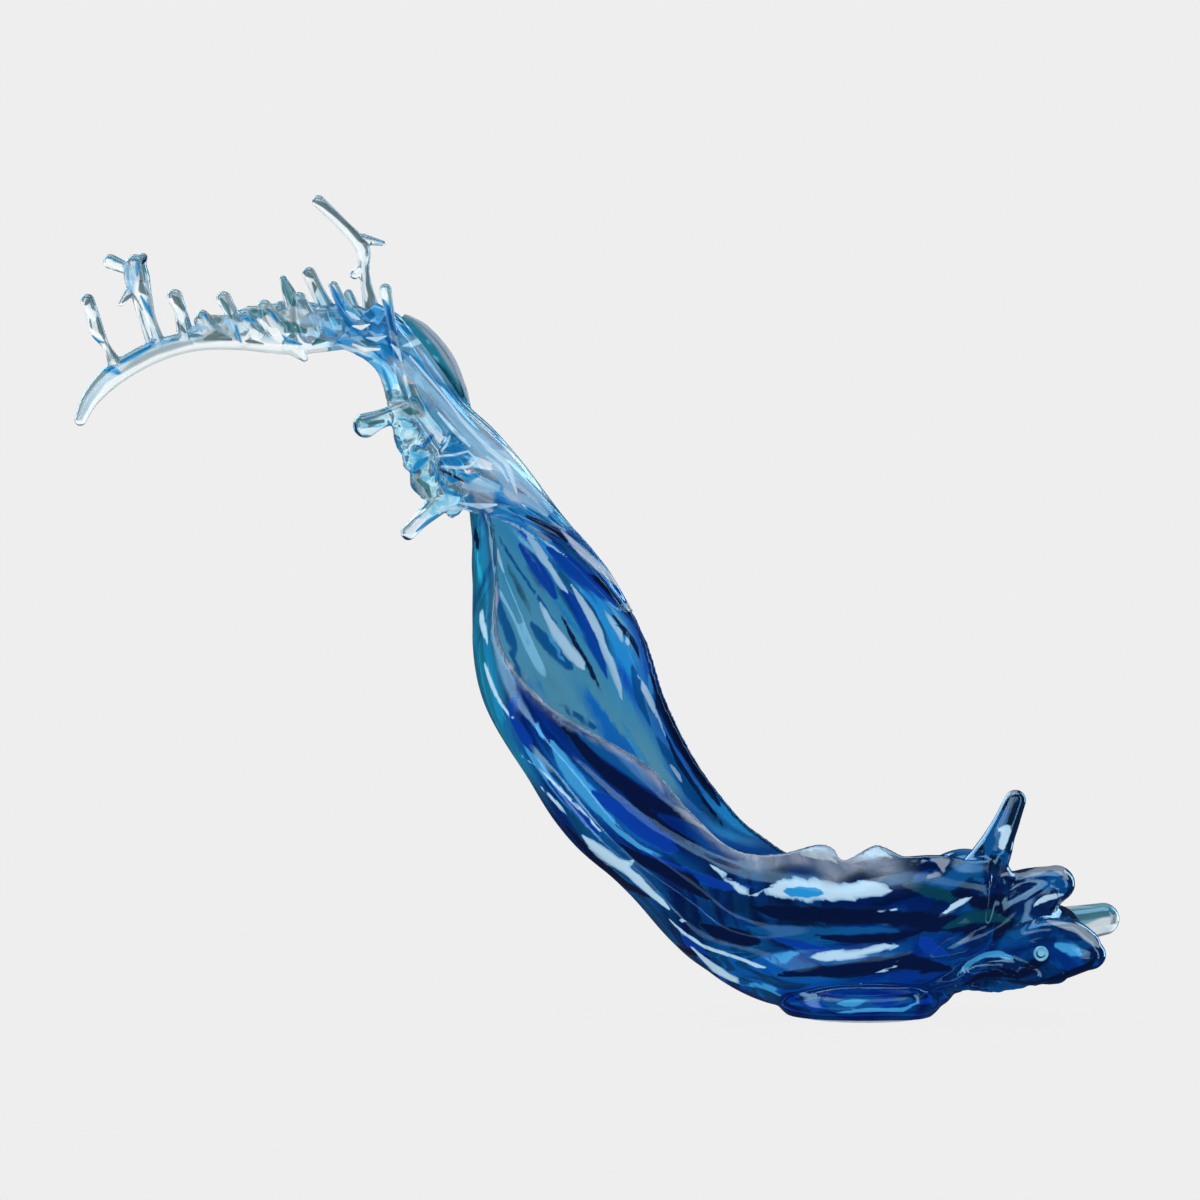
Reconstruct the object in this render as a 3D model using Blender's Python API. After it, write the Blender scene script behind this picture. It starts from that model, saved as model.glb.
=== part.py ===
# Resin wave sculpture: curled sections cast in tinted clear resin, bonded edge to edge on acrylic
# dowels, with separately drawn drips. X runs along the wave, Y away from the viewer, Z up, metres.

import bmesh
import bpy
from collections import namedtuple
from math import cos, pi, radians, sin, sqrt
from mathutils import Vector

# The whole sculpture. The tables are drawn at DRAWN_LENGTH and DRAWN_HEIGHT and stretch to these.
LENGTH = 0.626
HEIGHT = 0.493
DRAWN_LENGTH = 0.626
DRAWN_HEIGHT = 0.493

# Fits and walls
BOND_GAP = 0.0003
PIN_GAP = 0.0002
BACK_WALL = 0.0031
RIBBON_WALL = 0.0038
FIN_WALL = 0.0038
LIP_SHARE = 0.35
FILL_SOFTNESS = 0.15
FILL_REACH = 1.6
WELD = 0.00002

# Base
PAD_THICKNESS = 0.0015
PAD_LENGTH = 0.072
PAD_WIDTH = 0.064
PAD_X = -0.001

# Dowels
SEAM_PIN_COVER = 0.0010
SEAM_PIN_LENGTH = 0.016
SEAM_PIN_SHARES = (0.24, 0.5, 0.76)
PALM_PIN_DIAMETER = 0.008
PALM_PIN_LENGTH = 0.036
PALM_PIN_SPREAD = 0.018
PALM_PIN_HEIGHT = 0.046
LOCK_PIN_DIAMETER = 0.009
LOCK_PIN_LENGTH = 0.022
LOCK_PIN_X = 0.102
LOCK_PIN_Z = 0.043
LOCK_PIN_PROUD = 0.0004
ARM_PIN_DIAMETER = 0.004
ARM_PIN_LENGTH = 0.028
FINGER_PIN_DIAMETER = 0.005
FINGER_PIN_LENGTH = 0.026
FINGER_PIN_PLACE = 0.65
PIN_SIDES = 12

# Flow ridges that run along the curled body, and the waves of the trough's front lip
RIDGE_HEIGHT = 0.0009
RIDGES_ROUND = 5.0
RIDGE_TWIST = 0.3
LIP_WAVE = 7.5
LIP_WAVE_ROWS = 1.12
LIP_WAVE_CREST = 8.16
LIP_WAVE_MIDDLE = 9.1
LIP_WAVE_REACH = 1.25

# Where the back sheet ends and the trough begins, in rows of the hull
SEAM_ROW = 4.3

# About the distance from one row of a table to the next, along the piece
ROW_SPACING = 0.035

# How finely the pieces are drawn
HULL_ACROSS = 18
PAD_SIDES = 28
DRIP_RESOLUTION = 2
DRIP_STEPS = 2
DRIP_DOME = ((0.45, 0.89), (0.80, 0.60), (0.97, 0.24))
LIMB_DOME = ((0.40, 0.80), (0.62, 0.45))
FRILL_WOBBLE = 0.12
FRILL_TURN = 2.1

Section = namedtuple("Section", "left_x left_z right_x right_z depth shift start stop wall fill")
Limb = namedtuple("Limb", "x y z up deep")

# Sections of the hull from the neck to the tail. Each is part of an oval whose far ends are the left
# and right points; start and stop are degrees round it, 0 at the right point and 90 at the back, and
# fill is how high the resin stands in it above the left point.
HULL = [
    Section(-0.243, 0.325, -0.200, 0.328, 0.016, 0.006, 30, 200, BACK_WALL, 0.0),
    Section(-0.237, 0.302, -0.182, 0.300, 0.022, 0.005, 25, 234, BACK_WALL, 0.0),
    Section(-0.235, 0.263, -0.148, 0.260, 0.028, 0.004, 20, 228, BACK_WALL, 0.0),
    Section(-0.235, 0.224, -0.128, 0.228, 0.033, 0.003, 22, 226, BACK_WALL, 0.0),
    Section(-0.226, 0.187, -0.112, 0.192, 0.037, 0.002, 30, 250, BACK_WALL + 0.0008, 0.003),
    Section(-0.203, 0.148, -0.093, 0.158, 0.040, 0.001, 35, 288, BACK_WALL + 0.0008, 0.005),
    Section(-0.174, 0.107, -0.073, 0.136, 0.042, 0.0, 42, 291, BACK_WALL + 0.0004, 0.005),
    Section(-0.138, 0.073, -0.050, 0.120, 0.044, 0.0, 52, 290, BACK_WALL + 0.0004, 0.007),
    Section(-0.102, 0.033, -0.020, 0.121, 0.047, 0.0, 66, 303, BACK_WALL + 0.0006, 0.014),
    Section(-0.056, 0.009, 0.007, 0.122, 0.051, 0.0, 68, 306, BACK_WALL + 0.001, 0.046),
    Section(-0.009, 0.006, 0.033, 0.130, 0.054, 0.0, 70, 305, BACK_WALL + 0.002, 0.070),
    Section(0.036, 0.012, 0.054, 0.118, 0.054, 0.0, 70, 309, BACK_WALL + 0.003, 0.070),
    Section(0.066, 0.018, 0.075, 0.114, 0.050, 0.0, 66, 311, BACK_WALL + 0.004, 0.080),
]

# The band that folds over in front: left is its free edge, right is the fold.
RIBBON = [
    Section(-0.172, 0.243, -0.139, 0.244, 0.014, -0.002, 10, -30, RIBBON_WALL - 0.002, 0.0),
    Section(-0.185, 0.279, -0.156, 0.271, 0.014, -0.002, 25, -75, RIBBON_WALL - 0.001, 0.0),
    Section(-0.210, 0.294, -0.180, 0.300, 0.014, -0.001, 30, -130, RIBBON_WALL, 0.0),
    Section(-0.238, 0.301, -0.205, 0.333, 0.015, 0.0, 30, -150, RIBBON_WALL, 0.001),
    Section(-0.262, 0.313, -0.223, 0.354, 0.018, 0.002, 32, -150, RIBBON_WALL, 0.001),
    Section(-0.275, 0.338, -0.240, 0.370, 0.018, 0.003, 35, -150, RIBBON_WALL, 0.001),
    Section(-0.287, 0.361, -0.255, 0.390, 0.016, 0.003, 40, -150, RIBBON_WALL, 0.0),
    Section(-0.293, 0.385, -0.267, 0.406, 0.014, 0.002, 45, -155, RIBBON_WALL, 0.0),
    Section(-0.306, 0.397, -0.279, 0.421, 0.014, 0.0, 45, -160, RIBBON_WALL, 0.0),
    Section(-0.321, 0.401, -0.293, 0.429, 0.013, -0.001, 30, -150, RIBBON_WALL - 0.001, 0.0),
]

# The rounded fin behind the ribbon.
FIN = [
    Section(-0.286, 0.411, -0.276, 0.423, 0.006, 0.006, 15, 130, FIN_WALL - 0.002, 0.0),
    Section(-0.286, 0.398, -0.262, 0.415, 0.012, 0.005, -5, 160, FIN_WALL, 0.0),
    Section(-0.278, 0.384, -0.248, 0.399, 0.017, 0.004, -10, 170, FIN_WALL, 0.001),
    Section(-0.268, 0.366, -0.239, 0.378, 0.019, 0.004, -10, 170, FIN_WALL, 0.001),
    Section(-0.257, 0.350, -0.233, 0.358, 0.019, 0.004, 5, 170, FIN_WALL, 0.0),
    Section(-0.248, 0.334, -0.214, 0.340, 0.017, 0.005, 25, 175, FIN_WALL - 0.001, 0.0),
]

ARM = [
    Limb(-0.300, 0.0, 0.412, 0.009, 0.007),
    Limb(-0.320, -0.001, 0.410, 0.0100, 0.0066),
    Limb(-0.345, -0.003, 0.406, 0.0082, 0.0058),
    Limb(-0.375, -0.007, 0.4065, 0.0060, 0.0052),
    Limb(-0.402, -0.012, 0.4055, 0.0060, 0.0050),
    Limb(-0.426, -0.018, 0.3985, 0.0066, 0.0048),
    Limb(-0.448, -0.024, 0.3855, 0.0066, 0.0046),
    Limb(-0.461, -0.029, 0.3715, 0.0052, 0.0042),
    Limb(-0.467, -0.033, 0.3585, 0.0034, 0.0034),
]

KNOT = [
    Limb(-0.276, 0.004, 0.392, 0.007, 0.007),
    Limb(-0.287, 0.004, 0.405, 0.009, 0.009),
    Limb(-0.302, 0.002, 0.415, 0.011, 0.010),
    Limb(-0.318, 0.0, 0.417, 0.011, 0.009),
    Limb(-0.331, -0.001, 0.414, 0.009, 0.007),
]

WEB = [
    Limb(-0.326, -0.001, 0.418, 0.008, 0.006),
    Limb(-0.338, -0.002, 0.419, 0.012, 0.005),
    Limb(-0.350, -0.004, 0.417, 0.012, 0.005),
    Limb(-0.363, -0.006, 0.416, 0.012, 0.0045),
    Limb(-0.378, -0.008, 0.413, 0.010, 0.0045),
    Limb(-0.392, -0.010, 0.411, 0.009, 0.004),
    Limb(-0.404, -0.012, 0.408, 0.005, 0.0035),
]

PALM = [
    Limb(0.054, -0.001, 0.058, 0.036, 0.045),
    Limb(0.066, -0.001, 0.055, 0.038, 0.048),
    Limb(0.080, -0.001, 0.051, 0.034, 0.047),
    Limb(0.096, -0.001, 0.048, 0.031, 0.043),
    Limb(0.111, -0.001, 0.045, 0.023, 0.032),
]

FOOT = [
    Limb(-0.047, 0.0, 0.019, 0.012, 0.024),
    Limb(-0.037, 0.0, 0.014, 0.016, 0.035),
    Limb(-0.020, 0.0, 0.012, 0.018, 0.043),
    Limb(0.006, 0.0, 0.012, 0.018, 0.045),
    Limb(0.028, 0.0, 0.014, 0.018, 0.042),
    Limb(0.040, 0.0, 0.019, 0.013, 0.032),
]

FRILL = [
    Limb(-0.284, -0.004, 0.372, 0.005, 0.006),
    Limb(-0.275, -0.007, 0.353, 0.007, 0.007),
    Limb(-0.268, -0.009, 0.336, 0.007, 0.007),
    Limb(-0.261, -0.008, 0.319, 0.007, 0.007),
    Limb(-0.249, -0.006, 0.310, 0.006, 0.006),
]

# Drips: the points along each one with its radius there, from the root to the head.
DRIPS = {
    "tip_drip": [(-0.448, -0.024, 0.394, 0.0040), (-0.452, -0.024, 0.402, 0.0022),
                 (-0.4575, -0.024, 0.411, 0.0042), (-0.460, -0.023, 0.420, 0.0038),
                 (-0.4635, -0.023, 0.4295, 0.0042)],
    "antler_drip": [(-0.421, -0.017, 0.402, 0.0045), (-0.426, -0.016, 0.417, 0.0032),
                    (-0.430, -0.015, 0.430, 0.0046), (-0.4345, -0.015, 0.442, 0.0064),
                    (-0.4355, -0.015, 0.4515, 0.0055)],
    "antler_brace": [(-0.4275, -0.018, 0.404, 0.0024), (-0.433, -0.017, 0.421, 0.0016),
                     (-0.436, -0.015, 0.434, 0.0026)],
    "antler_spur": [(-0.437, -0.015, 0.438, 0.0036), (-0.4445, -0.014, 0.428, 0.0016)],
    "antler_ear_left": [(-0.440, -0.015, 0.4485, 0.0034), (-0.4505, -0.014, 0.453, 0.0045)],
    "antler_ear_right": [(-0.433, -0.015, 0.451, 0.0038), (-0.431, -0.015, 0.4555, 0.0026)],
    "short_drip_outer": [(-0.406, -0.012, 0.408, 0.0055), (-0.409, -0.012, 0.423, 0.0038),
                         (-0.4125, -0.012, 0.432, 0.0048)],
    "arm_bud": [(-0.390, -0.010, 0.412, 0.006), (-0.396, -0.010, 0.421, 0.0035)],
    "short_drip_inner": [(-0.372, -0.009, 0.408, 0.006), (-0.379, -0.010, 0.423, 0.004),
                         (-0.3835, -0.010, 0.431, 0.0046)],
    "web_spike": [(-0.338, -0.003, 0.416, 0.0075), (-0.344, -0.003, 0.432, 0.0045),
                  (-0.3485, -0.003, 0.443, 0.0022)],
    "under_cusp": [(-0.344, -0.003, 0.405, 0.0075), (-0.336, -0.004, 0.396, 0.0025)],
    "crown_spike_pale": [(-0.318, 0.004, 0.416, 0.0070), (-0.326, 0.005, 0.431, 0.0045),
                         (-0.3335, 0.005, 0.4465, 0.0040)],
    "crown_spike_blue": [(-0.300, -0.010, 0.413, 0.0050), (-0.312, -0.011, 0.427, 0.0038),
                         (-0.3180, -0.011, 0.4385, 0.0030)],
    "crown_spike_back": [(-0.305, 0.007, 0.420, 0.0045), (-0.310, 0.008, 0.4345, 0.0028)],
    "tall_splash": [(-0.294, 0.003, 0.414, 0.0075), (-0.2975, 0.003, 0.432, 0.0040),
                    (-0.3005, 0.003, 0.448, 0.0032), (-0.3015, 0.003, 0.462, 0.0042),
                    (-0.314, 0.002, 0.4765, 0.0034), (-0.3275, 0.001, 0.4895, 0.0038)],
    "splash_spur": [(-0.301, 0.003, 0.467, 0.0034), (-0.289, 0.003, 0.4645, 0.0016)],
    "splash_bud": [(-0.300, 0.003, 0.450, 0.0030), (-0.306, 0.003, 0.446, 0.0030)],
    "bead_drip": [(-0.2805, -0.011, 0.398, 0.0030), (-0.284, -0.011, 0.419, 0.0028),
                  (-0.287, -0.011, 0.4365, 0.0036)],
    "cuff_knob_upper": [(-0.274, -0.008, 0.364, 0.0075), (-0.288, -0.010, 0.3600, 0.0056),
                        (-0.299, -0.011, 0.3555, 0.0075)],
    "cuff_knob_lower": [(-0.249, -0.008, 0.315, 0.0085), (-0.265, -0.011, 0.300, 0.0050),
                        (-0.2735, -0.012, 0.2915, 0.0046)],
    "tail_finger_tall": [(0.060, -0.024, 0.080, 0.016), (0.072, -0.023, 0.095, 0.0125),
                         (0.081, -0.021, 0.113, 0.0080), (0.0895, -0.019, 0.1325, 0.0056)],
    "tail_finger_middle": [(0.086, -0.010, 0.058, 0.019), (0.100, -0.012, 0.071, 0.0145),
                           (0.1135, -0.014, 0.081, 0.0115)],
    "tail_finger_low": [(0.088, -0.026, 0.043, 0.021), (0.108, -0.030, 0.041, 0.0175),
                        (0.1325, -0.028, 0.0405, 0.0100)],
    "tail_finger_clear": [(0.100, 0.014, 0.048, 0.014), (0.126, 0.020, 0.055, 0.0095),
                          (0.1475, 0.024, 0.0580, 0.0085)],
}

# The part's curled sheets: rows, steps along, points across, first and last row, ridge height.
SEAM_REACH = BOND_GAP / 2 / ROW_SPACING
SHEETS = {
    "back_sheet": (HULL, 13, HULL_ACROSS, 0.0, SEAM_ROW - SEAM_REACH, RIDGE_HEIGHT),
    "trough_shell": (HULL, 30, HULL_ACROSS, SEAM_ROW + SEAM_REACH, len(HULL) - 1, RIDGE_HEIGHT),
    "neck_ribbon": (RIBBON, 20, 12, 0.0, len(RIBBON) - 1, 0.0),
    "crest_fin": (FIN, 12, 10, 0.0, len(FIN) - 1, 0.0),
}

# Its solid limbs: rows, steps along, sides, wobble.
LIMBS = {
    "crown_knot": (KNOT, 9, 14, 0.0),
    "crest_arm": (ARM, 20, 12, 0.0),
    "crown_web": (WEB, 12, 12, 0.0),
    "cuff_frill": (FRILL, 12, 10, FRILL_WOBBLE),
    "tail_palm": (PALM, 9, 16, 0.0),
    "foot_block": (FOOT, 11, 20, 0.0),
}

# What each piece seats on. A piece is cut by the grown shapes of the pieces named here.
SEATS = {
    "back_sheet": [],
    "trough_shell": [],
    "neck_ribbon": ["back_sheet", "trough_shell"],
    "crest_fin": ["back_sheet", "neck_ribbon"],
    "crown_knot": ["neck_ribbon", "crest_fin"],
    "crest_arm": ["neck_ribbon", "crown_knot"],
    "crown_web": ["neck_ribbon", "crown_knot", "crest_arm"],
    "cuff_frill": ["neck_ribbon", "back_sheet"],
    "tail_palm": ["trough_shell"],
    "foot_block": ["trough_shell"],
    "tip_drip": ["crest_arm"],
    "antler_drip": ["crest_arm"],
    "antler_brace": ["crest_arm", "antler_drip"],
    "antler_spur": ["antler_drip", "antler_brace"],
    "antler_ear_left": ["antler_drip"],
    "antler_ear_right": ["antler_drip"],
    "short_drip_outer": ["crest_arm", "crown_web"],
    "arm_bud": ["crest_arm", "crown_web"],
    "short_drip_inner": ["crest_arm", "crown_web"],
    "under_cusp": ["crest_arm", "crown_web"],
    "web_spike": ["crest_arm", "crown_web", "crown_knot"],
    "tall_splash": ["neck_ribbon", "crest_fin", "crown_knot", "crest_arm"],
    "splash_spur": ["tall_splash"],
    "splash_bud": ["tall_splash"],
    "crown_spike_pale": [
        "neck_ribbon", "crest_fin", "crown_knot", "crest_arm", "crown_web", "tall_splash",
    ],
    "crown_spike_blue": [
        "neck_ribbon", "crest_fin", "crown_knot", "crest_arm", "tall_splash", "crown_spike_pale",
    ],
    "crown_spike_back": [
        "neck_ribbon", "crest_fin", "crown_knot", "crest_arm", "tall_splash", "crown_spike_blue",
    ],
    "bead_drip": ["neck_ribbon", "crest_fin", "crown_knot", "crest_arm", "tall_splash"],
    "cuff_knob_upper": ["neck_ribbon", "cuff_frill"],
    "cuff_knob_lower": ["neck_ribbon", "cuff_frill"],
    "tail_finger_tall": ["trough_shell", "tail_palm"],
    "tail_finger_middle": ["trough_shell", "tail_palm", "tail_finger_tall"],
    "tail_finger_low": ["trough_shell", "tail_palm", "tail_finger_middle"],
    "tail_finger_clear": [
        "trough_shell", "tail_palm", "tail_finger_middle", "tail_finger_low",
    ],
}

# Tints of the resin, with how much of each hides what is behind it.
CLEAR = (0.80, 0.90, 0.95, 0.45)
PALE = (0.50, 0.66, 0.82, 0.6)
AZURE = (0.10, 0.42, 0.72, 0.7)
TEAL = (0.08, 0.33, 0.48, 0.8)
NAVY = (0.01, 0.07, 0.30, 0.92)
ACRYLIC = (0.90, 0.92, 0.93, 0.5)
RESIN_ROUGHNESS = 0.06
SILICONE_ROUGHNESS = 0.45
SHARP_ANGLE = 0.9
TINTS = {
    "back_sheet": TEAL,
    "trough_shell": NAVY,
    "neck_ribbon": PALE,
    "crest_fin": TEAL,
    "crown_knot": PALE,
    "cuff_frill": AZURE,
    "cuff_knob_upper": AZURE,
    "cuff_knob_lower": NAVY,
    "crown_spike_blue": AZURE,
    "bead_drip": NAVY,
    "tail_palm": NAVY,
    "tail_finger_tall": NAVY,
    "tail_finger_middle": NAVY,
    "tail_finger_low": NAVY,
    "foot_block": NAVY,
}

for thing in list(bpy.data.objects):
    bpy.data.objects.remove(thing)

PARTS = bpy.data.collections.new("resin_wave_sculpture")
bpy.context.scene.collection.children.link(PARTS)
CUTTERS = bpy.data.collections.new("cutters")
bpy.context.scene.collection.children.link(CUTTERS)


def paint(piece, tint, roughness=RESIN_ROUGHNESS):
    """Gives a piece its own clear or tinted plastic and smooth faces."""
    material = bpy.data.materials.new(piece.name + "_plastic")
    material.use_nodes = True
    shader = material.node_tree.nodes["Principled BSDF"]
    shader.inputs["Base Color"].default_value = (*tint[:3], 1.0)
    shader.inputs["Alpha"].default_value = tint[3]
    shader.inputs["Roughness"].default_value = roughness
    shader.inputs["Metallic"].default_value = 0.0
    piece.data.materials.clear()
    piece.data.materials.append(material)
    piece.data.shade_smooth()
    piece.data.set_sharp_from_angle(angle=SHARP_ANGLE)


def place(x, y, z):
    """A place of the tables, stretched to the sculpture's length and height."""
    return Vector((x * LENGTH / DRAWN_LENGTH, y, z * HEIGHT / DRAWN_HEIGHT))


def smooth_row(rows, at):
    """The row at a place between the given ones, on a curve through all of them."""
    low = min(int(at), len(rows) - 2)
    share = at - low
    before, first, second, after = (
        rows[min(max(low + offset, 0), len(rows) - 1)] for offset in (-1, 0, 1, 2)
    )
    values = []
    for a, b, c, d in zip(before, first, second, after):
        values.append(
            b
            + 0.5 * share * (c - a)
            + share**2 * (a - 2.5 * b + 2 * c - 0.5 * d)
            + share**3 * (1.5 * (b - c) + 0.5 * (d - a))
        )
    return values


def mesh_object(name, points, faces, collection):
    mesh = bpy.data.meshes.new(name)
    mesh.from_pydata(points, [], faces)
    shape = bmesh.new()
    shape.from_mesh(mesh)
    bmesh.ops.recalc_face_normals(shape, faces=shape.faces)
    shape.to_mesh(mesh)
    shape.free()
    piece = bpy.data.objects.new(name, mesh)
    collection.objects.link(piece)
    return piece


def loft(name, rings, strip_ends, collection):
    """Bridges rings of equal length. A sheet's ends are strips, a solid limb's are one face."""
    count = len(rings[0])
    points = [point for ring in rings for point in ring]
    faces = []
    for base in range(0, (len(rings) - 1) * count, count):
        for step in range(count):
            after = (step + 1) % count
            corner = base + count + after
            faces.append((base + step, base + after, corner))
            faces.append((base + step, corner, base + count + step))
    for base in (0, (len(rings) - 1) * count):
        if strip_ends:
            for step in range(count // 2 - 1):
                faces.append((
                    base + step,
                    base + step + 1,
                    base + count - 2 - step,
                    base + count - 1 - step,
                ))
        else:
            faces.append([base + step for step in range(count)])
    return mesh_object(name, points, faces, collection)


def wave_of_lip(at):
    """Degrees by which the trough's front lip stands higher or lower at a row."""
    reach = max(0, 1 - ((at - LIP_WAVE_MIDDLE) / LIP_WAVE_REACH) ** 4)
    return LIP_WAVE * reach * cos(2 * pi * (at - LIP_WAVE_CREST) / LIP_WAVE_ROWS)


def wall_share(share):
    """How thick a sheet is across its width: full in the middle, thin at both lips."""
    return max(LIP_SHARE, sqrt(1 - (2 * share - 1) ** 6))


def sheet_ring(rows, at, across, ridge, grow=0.0):
    """One closed section of a curled sheet: its outer face and back along its inner face."""
    row = Section(*smooth_row(rows, at))
    left = place(row.left_x, row.shift, row.left_z)
    right = place(row.right_x, row.shift, row.right_z)
    centre = (left + right) / 2
    half = (right - left).length / 2
    along = (right - left).normalized()
    away = Vector((0, 1, 0))
    sign = 1 if row.stop > row.start else -1
    beyond = sign * grow / half
    wave_share = 1 if rows is HULL else 0
    start = radians(row.start) - beyond
    stop = radians(row.stop + wave_of_lip(at) * wave_share) + beyond
    outer, inner = [], []
    for step in range(across):
        share = 0.5 - 0.5 * cos(pi * step / (across - 1))
        turn = start + (stop - start) * share
        thickness = row.wall * wall_share(share)
        on_oval = centre + along * half * cos(turn) + away * row.depth * sin(turn)
        normal = (along * cos(turn) / half + away * sin(turn) / row.depth).normalized()
        ridge_phase = 2 * pi * (RIDGES_ROUND * share + RIDGE_TWIST * at)
        wave = ridge * sin(ridge_phase) * sin(pi * share) ** 3
        outer.append(on_oval + normal * (wave + grow))
        inside = on_oval + normal * (wave - thickness - grow)
        if row.fill > 0:
            level = (inside - left).dot(along)
            bed = row.fill + grow
            soft = row.fill * FILL_SOFTNESS
            raised = (level + bed + sqrt((level - bed) ** 2 + soft**2)) / 2
            inside += along * (raised - level) * min(1, FILL_REACH * sin(pi * share) ** 2)
        inner.append(inside)
    return outer + inner[::-1]


def sheet(name, size, grow, collection):
    rows, steps, across, first, last, ridge = size
    beyond = grow / ROW_SPACING
    rings = []
    for step in range(steps):
        at = first - beyond + (last - first + 2 * beyond) * step / (steps - 1)
        rings.append(sheet_ring(rows, at, across, ridge, grow))
    return loft(name, rings, True, collection)


def limb(name, size, grow, collection):
    """A solid with oval sections along a path, closed by a dome at both ends."""
    rows, steps, sides, wobble = size
    last = len(rows) - 1
    sections = [Limb(*smooth_row(rows, last * step / (steps - 1))) for step in range(steps)]
    centres = [place(row.x, row.y, row.z) for row in sections]
    rings = []
    for step, row in enumerate(sections):
        ahead = centres[min(step + 1, steps - 1)] - centres[max(step - 1, 0)]
        ahead.normalize()
        deep = Vector((0, 1, 0))
        deep = (deep - ahead * deep.dot(ahead)).normalized()
        up = ahead.cross(deep)
        domes = [(0.0, 1.0)]
        if step == 0:
            domes = [(-push, scale) for push, scale in LIMB_DOME[::-1]] + domes
        if step == steps - 1:
            domes += LIMB_DOME
        swell = 1 + wobble * sin(step * FRILL_TURN)
        for push, scale in domes:
            centre = centres[step] + ahead * push * (min(row.up, row.deep) + grow)
            ring = []
            for side in range(sides):
                turn = 2 * pi * side / sides
                tall = up * (row.up * swell + grow) * cos(turn)
                wide = deep * (row.deep * swell + grow) * sin(turn)
                ring.append(centre + (tall + wide) * scale)
            rings.append(ring)
    return loft(name, rings, False, collection)


def drip(name, points, grow, collection):
    """A drawn drip: a tube curve that swells and thins, with a round head and a round root."""
    count = (len(points) - 1) * DRIP_STEPS
    path = []
    for step in range(count + 1):
        x, y, z, radius = smooth_row(points, step / DRIP_STEPS)
        path.append((place(x, y, z), radius + grow))
    head, head_radius = path[-1]
    root, root_radius = path[0]
    head_direction = (head - path[-2][0]).normalized()
    root_direction = (root - path[1][0]).normalized()
    for push, scale in DRIP_DOME:
        path.append((head + head_direction * head_radius * push, head_radius * scale))
        path.insert(0, (root + root_direction * root_radius * push, root_radius * scale))
    curve = bpy.data.curves.new(name, "CURVE")
    curve.dimensions = "3D"
    curve.bevel_depth = 1.0
    curve.bevel_resolution = DRIP_RESOLUTION
    curve.use_fill_caps = True
    spline = curve.splines.new("POLY")
    spline.points.add(len(path) - 1)
    for point, (centre, radius) in zip(spline.points, path):
        point.co = (*centre, 1)
        point.radius = radius
    holder = bpy.data.objects.new(name, curve)
    collection.objects.link(holder)
    return made_mesh(holder, collection)


def made_mesh(holder, collection):
    """Turns a curve or a piece with modifiers into a plain closed mesh object."""
    name = holder.name
    bpy.context.view_layer.update()
    evaluated = holder.evaluated_get(bpy.context.evaluated_depsgraph_get())
    mesh = bpy.data.meshes.new_from_object(evaluated)
    mesh.transform(holder.matrix_world)
    shape = bmesh.new()
    shape.from_mesh(mesh)
    bmesh.ops.remove_doubles(shape, verts=shape.verts, dist=WELD)
    bmesh.ops.recalc_face_normals(shape, faces=shape.faces)
    shape.to_mesh(mesh)
    shape.free()
    bpy.data.objects.remove(holder)
    piece = bpy.data.objects.new(name, mesh)
    collection.objects.link(piece)
    piece.name = name
    return piece


def triangulate(piece):
    """Flat triangles, so that a cut never meets a bent face."""
    shape = bmesh.new()
    shape.from_mesh(piece.data)
    bmesh.ops.triangulate(shape, faces=shape.faces)
    shape.to_mesh(piece.data)
    shape.free()


def drop_offcuts(piece):
    """Keeps the largest body of a cut piece and throws its offcuts away."""
    shape = bmesh.new()
    shape.from_mesh(piece.data)
    unseen = set(shape.faces)
    bodies = []
    while unseen:
        body = {unseen.pop()}
        waiting = list(body)
        while waiting:
            face = waiting.pop()
            around = {other for edge in face.edges for other in edge.link_faces} & unseen
            unseen -= around
            body |= around
            waiting.extend(around)
        bodies.append(body)
    largest = max(bodies, key=lambda body: sum(face.calc_area() for face in body))
    offcuts = [face for face in shape.faces if face not in largest]
    bmesh.ops.delete(shape, geom=offcuts, context="FACES")
    shape.to_mesh(piece.data)
    shape.free()


def cut(piece, cutters):
    """Takes the cutters out of a piece, which then seats against what they stand for."""
    for cutter in cutters:
        triangulate(piece)
        modifier = piece.modifiers.new("seat", "BOOLEAN")
        modifier.operation = "DIFFERENCE"
        modifier.solver = "EXACT"
        modifier.object = cutter
        piece = made_mesh(piece, PARTS)
    drop_offcuts(piece)
    return piece


def turned(name, centre, direction, radius, length, sides, collection):
    """A round bar about its centre."""
    shape = bmesh.new()
    bmesh.ops.create_cone(
        shape, cap_ends=True, segments=sides, radius1=radius, radius2=radius, depth=length
    )
    mesh = bpy.data.meshes.new(name)
    shape.to_mesh(mesh)
    shape.free()
    mesh.transform(direction.to_track_quat("Z", "Y").to_matrix().to_4x4())
    for vertex in mesh.vertices:
        vertex.co += centre
    piece = bpy.data.objects.new(name, mesh)
    collection.objects.link(piece)
    return piece


def flat_ground(piece, level):
    """Grinds off what lies below a level."""
    shape = bmesh.new()
    shape.from_mesh(piece.data)
    everything = list(shape.verts) + list(shape.edges) + list(shape.faces)
    ground = bmesh.ops.bisect_plane(
        shape,
        geom=everything,
        plane_co=(0, 0, level),
        plane_no=(0, 0, -1),
        clear_outer=True,
    )
    edges = [item for item in ground["geom_cut"] if isinstance(item, bmesh.types.BMEdge)]
    bmesh.ops.contextual_create(shape, geom=edges)
    bmesh.ops.recalc_face_normals(shape, faces=shape.faces)
    shape.to_mesh(piece.data)
    shape.free()


def foot_pad():
    """The oval silicone pad under the ground foot."""
    centre = Vector((PAD_X, 0, PAD_THICKNESS / 2))
    upright = Vector((0, 0, 1))
    pad = turned("foot_pad", centre, upright, PAD_LENGTH / 2, PAD_THICKNESS, PAD_SIDES, PARTS)
    for vertex in pad.data.vertices:
        vertex.co.y *= PAD_WIDTH / PAD_LENGTH
    return pad


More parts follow.
